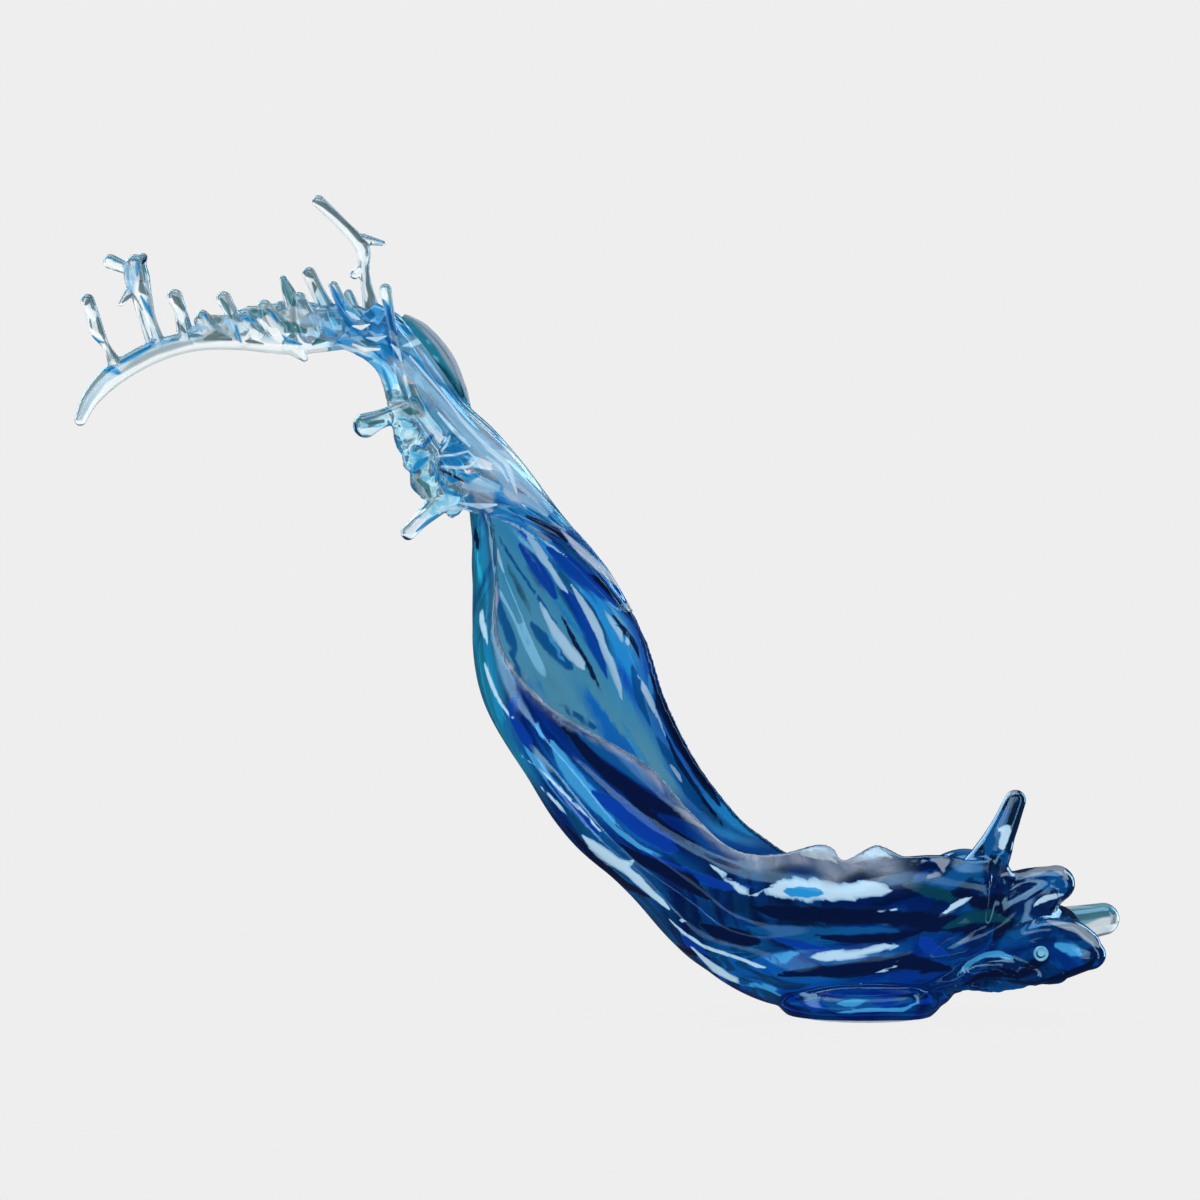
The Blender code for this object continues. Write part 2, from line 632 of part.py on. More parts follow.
def uncut(name, grow=0.0, collection=PARTS):
    """A piece before its seats are cut, or what cuts its neighbours when it grows by the gap."""
    label = name if grow == 0 else name + "_cutter"
    if name in SHEETS:
        return sheet(label, SHEETS[name], grow, collection)
    if name in LIMBS:
        return limb(label, LIMBS[name], grow, collection)
    return drip(label, DRIPS[name], grow, collection)


def seated_pieces():
    """Every resin piece, cut where it seats on its neighbours."""
    pieces = {}
    cutters = {}
    for name, neighbours in SEATS.items():
        for neighbour in neighbours:
            if neighbour not in cutters:
                cutters[neighbour] = uncut(neighbour, BOND_GAP, CUTTERS)
        pieces[name] = cut(uncut(name), [cutters[neighbour] for neighbour in neighbours])
    flat_ground(pieces["foot_block"], PAD_THICKNESS + BOND_GAP)
    return pieces


def middle_of_wall(at, step):
    """The middle of the hull's wall at one of the points across it."""
    ring = sheet_ring(HULL, at, HULL_ACROSS, RIDGE_HEIGHT)
    return (ring[step] + ring[-1 - step]) / 2


def seam_pins():
    """Thin pins that cross the joint of the back sheet and the trough inside their wall."""
    pins = {}
    half_rows = SEAM_PIN_LENGTH / 2 / ROW_SPACING
    wall = Section(*smooth_row(HULL, SEAM_ROW)).wall
    for number, share in enumerate(SEAM_PIN_SHARES, 1):
        step = round(share * (HULL_ACROSS - 1))
        above = middle_of_wall(SEAM_ROW - half_rows, step)
        below = middle_of_wall(SEAM_ROW + half_rows, step)
        pins[f"seam_pin_{number}"] = (
            (above + below) / 2,
            below - above,
            wall - 2 * SEAM_PIN_COVER,
            SEAM_PIN_LENGTH,
            ["back_sheet", "trough_shell"],
        )
    return pins


def surface_of_drip(name, x):
    """How far towards the viewer a drip's surface comes at a place along X."""
    for first, second in zip(DRIPS[name], DRIPS[name][1:]):
        if first[0] <= x <= second[0]:
            share = (x - first[0]) / (second[0] - first[0])
            return first[1] - first[3] + share * (second[1] - second[3] - first[1] + first[3])
    return DRIPS[name][0][1] - DRIPS[name][0][3]


def tail_pins():
    """Dowels from the trough into the palm, and those that hold two of its fingers."""
    end = HULL[-1]
    end_x = (end.left_x + end.right_x) / 2
    pins = {}
    for number, side in ((1, -1), (2, 1)):
        pins[f"palm_pin_{number}"] = (
            place(end_x, side * PALM_PIN_SPREAD, PALM_PIN_HEIGHT),
            Vector((1, 0, 0)),
            PALM_PIN_DIAMETER,
            PALM_PIN_LENGTH,
            ["trough_shell", "tail_palm"],
        )
    front = surface_of_drip("tail_finger_low", LOCK_PIN_X) - LOCK_PIN_PROUD
    pins["tail_lock_pin"] = (
        place(LOCK_PIN_X, front + LOCK_PIN_LENGTH / 2, LOCK_PIN_Z),
        Vector((0, 1, 0)),
        LOCK_PIN_DIAMETER,
        LOCK_PIN_LENGTH,
        ["tail_finger_low", "tail_palm"],
    )
    root, knuckle = (place(*point[:3]) for point in DRIPS["tail_finger_tall"][:2])
    pins["tail_finger_pin"] = (
        root.lerp(knuckle, FINGER_PIN_PLACE),
        knuckle - root,
        FINGER_PIN_DIAMETER,
        FINGER_PIN_LENGTH,
        ["trough_shell", "tail_palm", "tail_finger_tall"],
    )
    return pins


def arm_pins():
    """The dowel that carries the long arm on the crown."""
    in_knot = place(*KNOT[-2][:3])
    in_arm = place(*ARM[2][:3])
    return {
        "arm_pin": (
            (in_knot + in_arm) / 2,
            in_arm - in_knot,
            ARM_PIN_DIAMETER,
            ARM_PIN_LENGTH,
            ["crown_knot", "crest_arm"],
        )
    }


def pin(pieces, name, centre, direction, diameter, length, joined):
    """Adds a dowel and drills its hole into the pieces that it joins."""
    drill = turned(
        name + "_drill",
        centre,
        direction,
        diameter / 2 + PIN_GAP,
        length + 2 * PIN_GAP,
        PIN_SIDES,
        CUTTERS,
    )
    for key in joined:
        pieces[key] = cut(pieces[key], [drill])
    pieces[name] = turned(name, centre, direction, diameter / 2, length, PIN_SIDES, PARTS)
    paint(pieces[name], ACRYLIC)


def build():
    pieces = seated_pieces()
    for name, piece in pieces.items():
        paint(piece, TINTS.get(name, CLEAR))
    for name, size in {**seam_pins(), **tail_pins(), **arm_pins()}.items():
        pin(pieces, name, *size)
    paint(foot_pad(), CLEAR, SILICONE_ROUGHNESS)


build()
for thing in list(CUTTERS.objects):
    bpy.data.objects.remove(thing)
bpy.data.collections.remove(CUTTERS)
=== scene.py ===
import math
import bpy
import numpy as np
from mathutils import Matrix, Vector, noise
from mathutils.kdtree import KDTree


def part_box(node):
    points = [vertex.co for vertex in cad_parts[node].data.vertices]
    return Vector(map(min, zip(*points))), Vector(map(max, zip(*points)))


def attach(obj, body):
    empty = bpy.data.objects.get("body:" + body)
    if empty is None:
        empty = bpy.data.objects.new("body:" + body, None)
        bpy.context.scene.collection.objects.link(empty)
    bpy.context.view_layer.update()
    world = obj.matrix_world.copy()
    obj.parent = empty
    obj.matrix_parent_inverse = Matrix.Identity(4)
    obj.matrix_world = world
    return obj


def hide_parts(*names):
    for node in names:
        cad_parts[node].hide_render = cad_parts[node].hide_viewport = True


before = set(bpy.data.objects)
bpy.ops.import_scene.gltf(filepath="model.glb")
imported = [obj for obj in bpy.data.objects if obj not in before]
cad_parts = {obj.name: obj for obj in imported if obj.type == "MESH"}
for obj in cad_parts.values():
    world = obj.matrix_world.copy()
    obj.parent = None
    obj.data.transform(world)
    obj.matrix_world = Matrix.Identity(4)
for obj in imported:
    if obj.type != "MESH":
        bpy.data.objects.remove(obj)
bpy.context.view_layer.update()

print("wave: frame loaded,", len(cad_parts), "nodes")


# a wrapped socket, so that shader maths reads as maths
class Wire:
    def __init__(self, tree, socket):
        self.tree = tree
        self.socket = socket

    def make(self, kind, settings=None, sockets=None, output=0):
        node = self.tree.nodes.new(kind)
        for key, value in (settings or {}).items():
            setattr(node, key, value)
        feed(node, sockets or {})
        return Wire(self.tree, node.outputs[output])

    def sum(self, operation, *values):
        return self.make("ShaderNodeMath", {"operation": operation}, dict(enumerate(values)))

    def __add__(self, other):
        return self.sum("ADD", self, other)

    def __radd__(self, other):
        return self.sum("ADD", other, self)

    def __sub__(self, other):
        return self.sum("SUBTRACT", self, other)

    def __rsub__(self, other):
        return self.sum("SUBTRACT", other, self)

    def __mul__(self, other):
        return self.sum("MULTIPLY", self, other)

    def __rmul__(self, other):
        return self.sum("MULTIPLY", other, self)

    def __truediv__(self, other):
        return self.sum("DIVIDE", self, other)

    def between(self, low, high):
        return self.make("ShaderNodeMapRange", {"interpolation_type": "SMOOTHSTEP"},
                         {"Value": self, "From Min": low, "From Max": high})

    def blend(self, first, second):
        # self is the share of the second colour
        return self.make("ShaderNodeMix", {"data_type": "RGBA"}, {0: self, 6: first, 7: second}, 2)

    def scaled(self, by):
        return self.make("ShaderNodeVectorMath", {"operation": "MULTIPLY"}, {0: self, 1: by})

    def grain(self, scale, detail=2.0, distortion=0.0, rough=0.5):
        return self.make("ShaderNodeTexNoise", {},
                         {"Vector": self, "Scale": scale, "Detail": detail,
                          "Roughness": rough, "Distortion": distortion})

    def layer(self, name, output=2):
        # a number that the mesh carries, or a vector with output 1
        return self.make("ShaderNodeAttribute", {"attribute_name": name}, output=output)

    def place(self):
        return self.make("ShaderNodeTexCoord", output=3)


def feed(node, sockets):
    for key, value in sockets.items():
        if isinstance(value, Wire):
            value.tree.links.new(value.socket, node.inputs[key])
        else:
            node.inputs[key].default_value = value


def grey(value):
    return (value, value, value, 1)


def freshMaterial(name):
    material = bpy.data.materials.new(name)
    material.use_nodes = True
    shader = material.node_tree.nodes["Principled BSDF"]
    return material, shader, Wire(material.node_tree, None)


def placed(name, data):
    holder = bpy.data.objects.new(name, data)
    bpy.context.scene.collection.objects.link(holder)
    return holder


# floor, light and camera; glare is the share of red and green in what the panels shine
stage = {
    "floorRadius": 1.5, "floorSides": 96, "fadeFrom": 0.55, "fadeTo": 1.4, "tone": 0.855, "sheen": 0.012,
    "band": 0.95, "gap": 0.11, "above": 1.15, "below": (0.09, 0.15, 0.165), "lowest": (0.75, 0.80, 0.82),
    "stripes": 8.0, "stripeEdge": (-0.55, 0.15), "glare": (0.36, 0.70), "dim": 0.03, "leak": 0.08,
    "fill": 1.0, "floorGrain": 0.995,
    "cameraDistance": 3.0, "lens": 150.0, "elevation": 2.0, "target": (-0.159, 0.0, 0.2508),
}


def lookFrom():
    # the camera's place, and the direction towards it from what it looks at
    tilt = math.radians(stage["elevation"])
    back = Vector((0, -math.cos(tilt), math.sin(tilt)))
    return Vector(stage["target"]) + back * stage["cameraDistance"], back


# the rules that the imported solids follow, drawn finer
def rowsAt(rows, places):
    # a curve through every row of a table
    rows = np.asarray(rows, float)
    low = np.minimum(places.astype(int), len(rows) - 2)
    share = (places - low)[:, None]
    a, b, c, d = (rows[np.clip(low + k, 0, len(rows) - 1)] for k in (-1, 0, 1, 2))
    return (b + 0.5 * share * (c - a) + share ** 2 * (a - 2.5 * b + 2 * c - 0.5 * d)
            + share ** 3 * (1.5 * (b - c) + 0.5 * (d - a)))


def smoothStep(values, low, high):
    t = np.clip((values - low) / (high - low), 0, 1)
    return t * t * (3 - 2 * t)


def falling(values, low, high):
    return 1 - smoothStep(values, low, high)


def within(values, start, full, fading, gone):
    # rises from start to full, and falls from fading to gone
    return smoothStep(values, start, full) * falling(values, fading, gone)


# how far the sines of a ripple differ from each other, and how they bend and swell along the sheet
rippleShape = {"sines": 3, "turn": 6.28, "long": (0.7, 1.4), "cross": (0.75, 1.3), "bend": 1.3,
               "bendWave": 0.8, "steady": 0.55, "swing": 0.45}


def ripple(along, across, seed, waves):
    # long soft flow lines: sums of sines whose phase drifts, so that none repeats evenly
    rule = rippleShape
    draw = np.random.default_rng(seed)
    full = rule["turn"]
    total = np.zeros(np.broadcast(along, across).shape)
    for longWave, crossWave, height in waves:
        for _ in range(rule["sines"]):
            phase, drift, lean = draw.uniform(0, full), draw.uniform(0, full), draw.uniform(-1, 1)
            longOne = longWave * draw.uniform(*rule["long"])
            crossOne = crossWave * draw.uniform(*rule["cross"])
            bend = rule["bend"] * np.sin(full * along / (longOne * rule["bendWave"]) + drift)
            turn = full * (across / crossOne + lean * along / longOne) + phase + bend
            swell = rule["steady"] + rule["swing"] * np.sin(full * along / longOne + drift)
            total += height / rule["sines"] * np.sin(turn) * swell
    return total


foldShape = {"smoothing": 22, "fade": 0.22, "upSide": 1.5, "downSide": 0.8}


def strokeLift(strokes, face, places, degrees, speed):
    # folds drawn one by one: side, points of row and degree, width and height in metres
    lift = np.zeros(degrees.shape)
    window = np.ones(max(3, len(places) // foldShape["smoothing"]))
    window /= window.sum()
    pad = len(window) // 2
    for side, points, width, height in strokes:
        if side != face:
            continue
        rowsOf, turnsOf = np.array(points, float).T
        line = np.interp(places, rowsOf, turnsOf)
        line = np.convolve(np.pad(line, pad, mode="edge"), window, "same")[pad:-pad]
        fade = foldShape["fade"] * (rowsOf[-1] - rowsOf[0])
        reach = within(places, rowsOf[0], rowsOf[0] + fade, rowsOf[-1] - fade, rowsOf[-1])
        distance = np.radians(degrees - line[:, None]) * speed
        wide = np.where(distance > 0, width * foldShape["upSide"], width * foldShape["downSide"])
        lift += height * reach[:, None] * np.exp(-(distance / wide) ** 2)
    return lift


sheetShape = {
    "evenShare": 0.25, "squareness": 6, "calmEdge": 0.7, "edgeSwell": 0.4, "deepestDent": 0.45,
    "bedWaves": [(0.09, 0.05, 1.0)], "bedStarts": 0.004, "bedFull": 0.03, "least": 1e-4, "thinnest": 0.002,
}


def curledSheet(rows, look, lipDegrees=None):
    # outer and inner face of a curled sheet, with where each point lies on it
    rule = sheetShape
    places = np.linspace(look["first"], look["last"], look["steps"])
    (leftX, leftZ, rightX, rightZ, depth, shift, start, stop, wall, fill) = rowsAt(rows, places).T
    if lipDegrees is not None:
        stop = stop + lipDegrees(places)
    left = np.stack([leftX, shift, leftZ], 1)
    right = np.stack([rightX, shift, rightZ], 1)
    centre = (left + right) / 2
    half = np.linalg.norm(right - left, axis=1) / 2
    along = (right - left) / (2 * half[:, None])
    away = np.array([0.0, 1.0, 0.0])
    share = 0.5 - 0.5 * np.cos(np.pi * np.arange(look["across"]) / (look["across"] - 1))
    share = (1 - rule["evenShare"]) * share + rule["evenShare"] * np.linspace(0, 1, look["across"])
    degrees = start[:, None] + (stop - start)[:, None] * share[None]
    turn = np.radians(degrees)
    speed = np.sqrt((half[:, None] * np.sin(turn)) ** 2 + (depth[:, None] * np.cos(turn)) ** 2)
    onOval = (centre[:, None] + along[:, None] * (half[:, None] * np.cos(turn))[..., None]
              + away * (depth[:, None] * np.sin(turn))[..., None])
    normal = (along[:, None] * (np.cos(turn) / half[:, None])[..., None]
              + away * (np.sin(turn) / depth[:, None])[..., None])
    normal /= np.linalg.norm(normal, axis=2, keepdims=True)
    profile = np.sqrt(np.maximum(0, 1 - (2 * share - 1) ** rule["squareness"]))
    thick = (wall[:, None] + look["extraWall"]) * np.maximum(look["lip"], profile)
    metresAlong = (places * look["rowSpacing"])[:, None]
    metresAcross = np.radians(degrees) * 0.5 * (half + depth)[:, None]
    calm = np.sin(np.pi * share) ** rule["calmEdge"]

    def rippled(offset, waves):
        return ripple(metresAlong, metresAcross, look["seed"] + offset, waves)

    outLift = strokeLift(look["folds"], "out", places, degrees, speed) + rippled(0, look["waves"]) * calm
    inLift = strokeLift(look["folds"], "in", places, degrees, speed) + rippled(7, look["waves"]) * calm
    both = rippled(3, look["swell"]) * (rule["edgeSwell"] + (1 - rule["edgeSwell"]) * calm)
    outer = onOval + normal * (outLift + both)[..., None]
    lift = np.clip(inLift, -rule["deepestDent"] * thick, None)
    inner = onOval + normal * (both - thick - lift)[..., None]
    # the resin that stands in the channel, level to the left point of each section
    level = ((inner - left[:, None]) * along[:, None]).sum(2)
    filled = smoothStep(fill, rule["bedStarts"], rule["bedFull"])[:, None]
    bed = fill[:, None] + look["bedWave"] * rippled(5, rule["bedWaves"]) * filled
    soft = np.maximum(fill * look["bedSoftness"], 1e-5)[:, None]
    raised = np.where(fill[:, None] > rule["least"],
                      (level + bed + np.sqrt((level - bed) ** 2 + soft ** 2)) / 2, level)
    inner = inner + along[:, None] * (raised - level)[..., None]
    room = np.clip((raised - half[:, None]) / half[:, None], -0.999, 0.999)
    widest = np.maximum(depth[:, None] * np.sqrt(1 - room ** 2) - thick, rule["thinnest"])
    aside = inner[..., 1] - shift[:, None]
    moved = raised - level > rule["least"]
    inner[..., 1] = np.where(moved, shift[:, None] + np.clip(aside, -widest, widest), inner[..., 1])
    # metres along and across, row, degree, and share from the one lip to the other
    stand = np.stack([np.broadcast_to(metresAlong, degrees.shape), metresAcross,
                      np.broadcast_to(places[:, None], degrees.shape), degrees,
                      np.broadcast_to(share[None], degrees.shape)], 2)
    rings = np.concatenate([outer, inner[:, ::-1]], 1)
    notes = np.concatenate([stand, stand[:, ::-1]], 1)
    return rings, notes


def everyOther(grid):
    return grid[::2, ::2].reshape(-1, grid.shape[2])


def limbRings(rows, look):
    # a solid with oval sections along a path, rounded at both ends
    places = np.linspace(0, len(rows) - 1, look["steps"])
    x, y, z, up, deep = rowsAt(rows, places).T
    centre = np.stack([x, y, z], 1)
    ahead = np.gradient(centre, axis=0)
    ahead /= np.linalg.norm(ahead, axis=1, keepdims=True)
    side = np.array([0.0, 1.0, 0.0]) - ahead * ahead[:, 1:2]
    side /= np.linalg.norm(side, axis=1, keepdims=True)
    upward = np.cross(ahead, side)
    turn = 2 * np.pi * np.arange(look["sides"]) / look["sides"]
    push = np.sin(np.linspace(0, np.pi / 2, look["dome"] + 1)[1:])

    def ring(k, out=0.0):
        scale = max(math.sqrt(1 - out ** 2), 0.02)
        at = centre[k] + ahead[k] * out * min(up[k], deep[k])
        return at + (upward[k] * up[k] * np.cos(turn)[:, None]
                     + side[k] * deep[k] * np.sin(turn)[:, None]) * scale

    last = len(places) - 1
    head = [ring(0, -amount) for amount in push[::-1]]
    tail = [ring(last, amount) for amount in push]
    return np.array(head + [ring(k) for k in range(last + 1)] + tail)


def sideTriangles(rings):
    # the triangles between neighbouring rings
    count, around = rings.shape[:2]
    first = np.arange(count - 1)[:, None] * around
    step = np.arange(around)[None]
    after = (step + 1) % around
    a, b, c, d = first + step, first + after, first + around + after, first + around + step
    return np.concatenate([np.stack([a, b, c], 2), np.stack([a, c, d], 2)]).reshape(-1, 3)


def closedTube(rings):
    # a tube through the rings, with a fan of triangles at each end
    count, around = rings.shape[:2]
    points = rings.reshape(-1, 3)
    faces = [sideTriangles(rings)]
    step = np.arange(around)
    for base, flip in ((0, 1), ((count - 1) * around, -1)):
        middle = len(points)
        points = np.concatenate([points, points[base:base + around].mean(0)[None]])
        fan = np.stack([base + step, np.full(around, middle), base + (step + 1) % around], 1)
        faces.append(fan[:, ::flip])
    return points, facingOut(points, np.concatenate(faces))


def closedSheet(rings):
    # as above, but each end is a strip between the outer and the inner face
    count, around = rings.shape[:2]
    points = rings.reshape(-1, 3)
    faces = [sideTriangles(rings)]
    k = np.arange(around // 2 - 1)
    for base, flip in ((0, 1), ((count - 1) * around, -1)):
        p, q = base + k, base + k + 1
        r, s = base + around - 2 - k, base + around - 1 - k
        strip = np.concatenate([np.stack([p, r, q], 1), np.stack([p, s, r], 1)])
        faces.append(strip[:, ::flip])
    return points, facingOut(points, np.concatenate(faces))


def facingOut(points, triangles):
    corners = points[triangles]
    volume = np.einsum("ij,ij->i", corners[:, 0], np.cross(corners[:, 1], corners[:, 2])).sum()
    return triangles if volume > 0 else triangles[:, ::-1]


def meshFrom(name, points, triangles):
    mesh = bpy.data.meshes.new(name)
    mesh.vertices.add(len(points))
    mesh.vertices.foreach_set("co", np.ascontiguousarray(points, np.float32).ravel())
    mesh.loops.add(triangles.size)
    mesh.loops.foreach_set("vertex_index", np.ascontiguousarray(triangles, np.int32).ravel())
    mesh.polygons.add(len(triangles))
    mesh.polygons.foreach_set("loop_start", np.arange(0, triangles.size, 3, dtype=np.int32))
    mesh.update(calc_edges=True)
    return mesh


def numbersOf(mesh):
    points = np.zeros(len(mesh.vertices) * 3, np.float32)
    mesh.vertices.foreach_get("co", points)
    mesh.calc_loop_triangles()
    triangles = np.zeros(len(mesh.loop_triangles) * 3, np.int32)
    mesh.loop_triangles.foreach_get("vertices", triangles)
    return points.reshape(-1, 3).astype(float), triangles.reshape(-1, 3)


def settled(holder):
    # the evaluated result of an object's modifiers, as a plain mesh; the holder goes
    bpy.context.view_layer.update()
    result = bpy.data.meshes.new_from_object(
        holder.evaluated_get(bpy.context.evaluated_depsgraph_get()))
    old = holder.data
    bpy.data.objects.remove(holder)
    if isinstance(old, bpy.types.Mesh):
        bpy.data.meshes.remove(old)
    return result


# a drop drawn along a path, swept by a small tree of geometry nodes
def geometryTree(name, inputs):
    tree = bpy.data.node_groups.new(name, "GeometryNodeTree")
    tree.interface.new_socket("Geometry", in_out="INPUT", socket_type="NodeSocketGeometry")
    named = {}
    for label, kind, value in inputs:
        socket = tree.interface.new_socket(label, in_out="INPUT", socket_type=kind)
        if value is not None:
            socket.default_value = value
        named[label] = socket.identifier
    tree.interface.new_socket("Geometry", in_out="OUTPUT", socket_type="NodeSocketGeometry")
    source, sink = tree.nodes.new("NodeGroupInput"), tree.nodes.new("NodeGroupOutput")
    return tree, source, sink, named


def chain(tree, start, steps):
    # geometry nodes one after another; each is a type, its settings, and its sockets
    wire = start
    for kind, settings, sockets in steps:
        node = tree.nodes.new(kind)
        for key, value in settings.items():
            setattr(node, key, value)
        tree.links.new(wire, node.inputs[0])
        for key, value in sockets.items():
            if isinstance(value, bpy.types.NodeSocket):
                tree.links.new(value, node.inputs[key])
            else:
                node.inputs[key].default_value = value
        wire = node.outputs[0]
    return wire


drop = {"sides": 28, "stepsPerRow": 9, "domeSteps": 8, "point": 0.03}


def dropTree():
    tree, source, sink, named = geometryTree("drawnDrop", [
        ("Sides", "NodeSocketInt", drop["sides"]), ("Finish", "NodeSocketMaterial", None)])
    ring = tree.nodes.new("GeometryNodeCurvePrimitiveCircle")
    ring.inputs["Radius"].default_value = 1.0
    tree.links.new(source.outputs["Sides"], ring.inputs["Resolution"])
    girth = tree.nodes.new("GeometryNodeInputNamedAttribute")
    girth.data_type = "FLOAT"
    girth.inputs["Name"].default_value = "girth"
    end = chain(tree, source.outputs["Geometry"], [
        ("GeometryNodeMeshToCurve", {}, {}),
        ("GeometryNodeCurveToMesh", {}, {"Profile Curve": ring.outputs["Curve"],
                                         "Scale": girth.outputs["Attribute"], "Fill Caps": True}),
        ("GeometryNodeRealizeInstances", {}, {}),
        ("GeometryNodeSetMaterial", {}, {"Material": source.outputs["Finish"]}),
    ])
    tree.links.new(end, sink.inputs["Geometry"])
    return tree, named


dropNodes, dropSockets = dropTree()


def drawnDrop(points, sides=drop["sides"]):
    # the path is smoothed, gets a round head and a round root, and the tree sweeps it
    points = np.array(points, float)
    places = np.linspace(0, len(points) - 1, (len(points) - 1) * drop["stepsPerRow"] + 1)
    path = rowsAt(points, places)

    def dome(end, before):
        radius = end[3]
        ahead = (end[:3] - before[:3]) / np.linalg.norm(end[:3] - before[:3])
        turns = np.linspace(0, math.pi / 2, drop["domeSteps"] + 1)[1:]
        return [np.array([*(end[:3] + ahead * radius * math.sin(turn)),
                          radius * max(math.cos(turn), drop["point"])]) for turn in turns]

    head = dome(path[-1], path[-3])
    root = dome(path[0], path[2])
    path = np.array(root[::-1] + list(path) + head)
    mesh = bpy.data.meshes.new("path")
    mesh.from_pydata([tuple(p[:3]) for p in path], [(k, k + 1) for k in range(len(path) - 1)], [])
    girth = mesh.attributes.new("girth", "FLOAT", "POINT")
    girth.data.foreach_set("value", path[:, 3].astype(np.float32))
    holder = placed("path", mesh)
    modifier = holder.modifiers.new("drop", "NODES")
    modifier.node_group = dropNodes
    modifier[dropSockets["Sides"]] = sides
    made = settled(holder)
    result = numbersOf(made)
    bpy.data.meshes.remove(made)
    return result[0], facingOut(*result)


# fusing and smoothing
def neighboursOf(mesh):
    edges = np.zeros(len(mesh.edges) * 2, np.int32)
    mesh.edges.foreach_get("vertices", edges)
    edges = edges.reshape(-1, 2)
    here = np.concatenate([edges[:, 0], edges[:, 1]])
    there = np.concatenate([edges[:, 1], edges[:, 0]])
    order = np.argsort(here, kind="stable")
    here, there = here[order], there[order]
    starts = np.searchsorted(here, np.arange(len(mesh.vertices)))
    counts = np.diff(np.append(starts, len(here)))
    return there, starts, np.maximum(counts, 1)[:, None]


def pull(points, ring):
    there, starts, counts = ring
    return np.add.reduceat(points[there], starts, axis=0) / counts - points


def normalsOf(points, triangles):
    corners = points[triangles]
    cross = np.cross(corners[:, 1] - corners[:, 0], corners[:, 2] - corners[:, 0])
    normals = np.zeros_like(points)
    for axis in range(3):
        for corner in range(3):
            normals[:, axis] += np.bincount(triangles[:, corner], cross[:, axis], len(points))
    return normals / np.maximum(np.linalg.norm(normals, axis=1, keepdims=True), 1e-20)


# how much of a crease fills, and how far the skin eases in and out, at each turn
easing = {"bend": 4, "fill": 0.6, "freshNormals": 4, "shrink": 0.5, "grow": 0.52}


def fuse(name, shells, look):
    # one liquid skin round all the shells: voxel union, filled creases, then a shrink-free smoothing
    points, triangles, base = [], [], 0
    for shellPoints, shellTriangles in shells:
        points.append(shellPoints)
        triangles.append(shellTriangles + base)
        base += len(shellPoints)
    holder = placed(name + "_raw", meshFrom(name + "_raw", np.concatenate(points), np.concatenate(triangles)))
    remesh = holder.modifiers.new("union", "REMESH")
    remesh.mode = "VOXEL"
    remesh.voxel_size = look["voxel"]
    mesh = settled(holder)
    mesh.name = name
    ring = neighboursOf(mesh)
    points, triangles = numbersOf(mesh)
    for turn in range(look["creaseTurns"]):
        if turn % easing["freshNormals"] == 0:
            normals = normalsOf(points, triangles)
        toward = pull(points, ring)
        rise = (toward * normals).sum(1)
        bend = easing["bend"] * rise / look["voxel"] ** 2
        amount = np.clip(bend * look["fillet"] - 1, 0, 1)[:, None]
        points = points + amount * toward * easing["fill"]
    for _ in range(look["smoothTurns"]):
        points = points + easing["shrink"] * pull(points, ring)
        points = points - easing["grow"] * pull(points, ring)
    return mesh, points, triangles


crease = {"roughness": 0.9, "lacunarity": 2.1, "octaves": 3, "offset": 0.9, "gain": 2.0,
          "deepest": 1.2, "highest": 1.6}


def crumpled(points, triangles, height, size, seed, chosen=None):
    # facets and creases, as in a sheet pinched while it sets
    normals = normalsOf(points, triangles)
    chosen = np.arange(len(points)) if chosen is None else chosen
    amount = np.array([noise.ridged_multi_fractal(
        Vector(p) / size + Vector((seed, 0, 0)), crease["roughness"], crease["lacunarity"],
        crease["octaves"], crease["offset"], crease["gain"]) for p in points[chosen]])
    amount = amount - amount.mean()
    points = points.copy()
    lift = np.clip(amount * height, -height * crease["deepest"], height * crease["highest"])
    points[chosen] += normals[chosen] * lift[:, None]
    return points, triangles


def finishMesh(mesh, points, triangles):
    mesh.vertices.foreach_set("co", np.ascontiguousarray(points, np.float32).ravel())
    mesh.update()
    mesh.shade_smooth()


def thinned(name, mesh, points, triangles, look):
    # fewer triangles, mostly on what faces away from the drawn side
    normals = normalsOf(points, triangles)
    holder = placed(name + "_dense", mesh)
    group = holder.vertex_groups.new(name="kept")
    levels = look["keptLevels"]
    kept = np.round(levels * falling(normals[:, 1], *look["keptFacing"]))
    for level in range(1, levels + 1):
        group.add(np.where(kept == level)[0].tolist(), level / levels, "REPLACE")
    thin = holder.modifiers.new("thin", "DECIMATE")
    thin.ratio = look["mostTriangles"] / len(triangles)
    thin.vertex_group = "kept"
    thin.vertex_group_factor = look["keptShare"]
    result = settled(holder)
    result.name = name
    result.shade_smooth()
    return result


def addLayers(mesh, layers):
    # what each point knows: one number, or three for a vector
    for name, values in layers.items():
        wide = values.ndim == 2
        layer = mesh.attributes.new(name, "FLOAT_VECTOR" if wide else "FLOAT", "POINT")
        flat = np.ascontiguousarray(values, np.float32).ravel()
        layer.data.foreach_set("vector" if wide else "value", flat)


def nearestNotes(points, marks, notes):
    # what the closest point of the drawn sheet says about itself
    tree = KDTree(len(marks))
    for index, mark in enumerate(marks):
        tree.insert(mark, index)
    tree.balance()
    found = np.zeros(len(points), int)
    away = np.zeros(len(points))
    for index, point in enumerate(points):
        _, found[index], away[index] = tree.find(point)
    return notes[found], away


def keep(name, mesh, material, nodes):
    mesh.materials.clear()
    mesh.materials.append(material)
    piece = placed(name, mesh)
    piece.visible_shadow = False
    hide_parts(*nodes)
    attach(piece, "root")
    print("wave:", name, len(mesh.polygons), "faces")
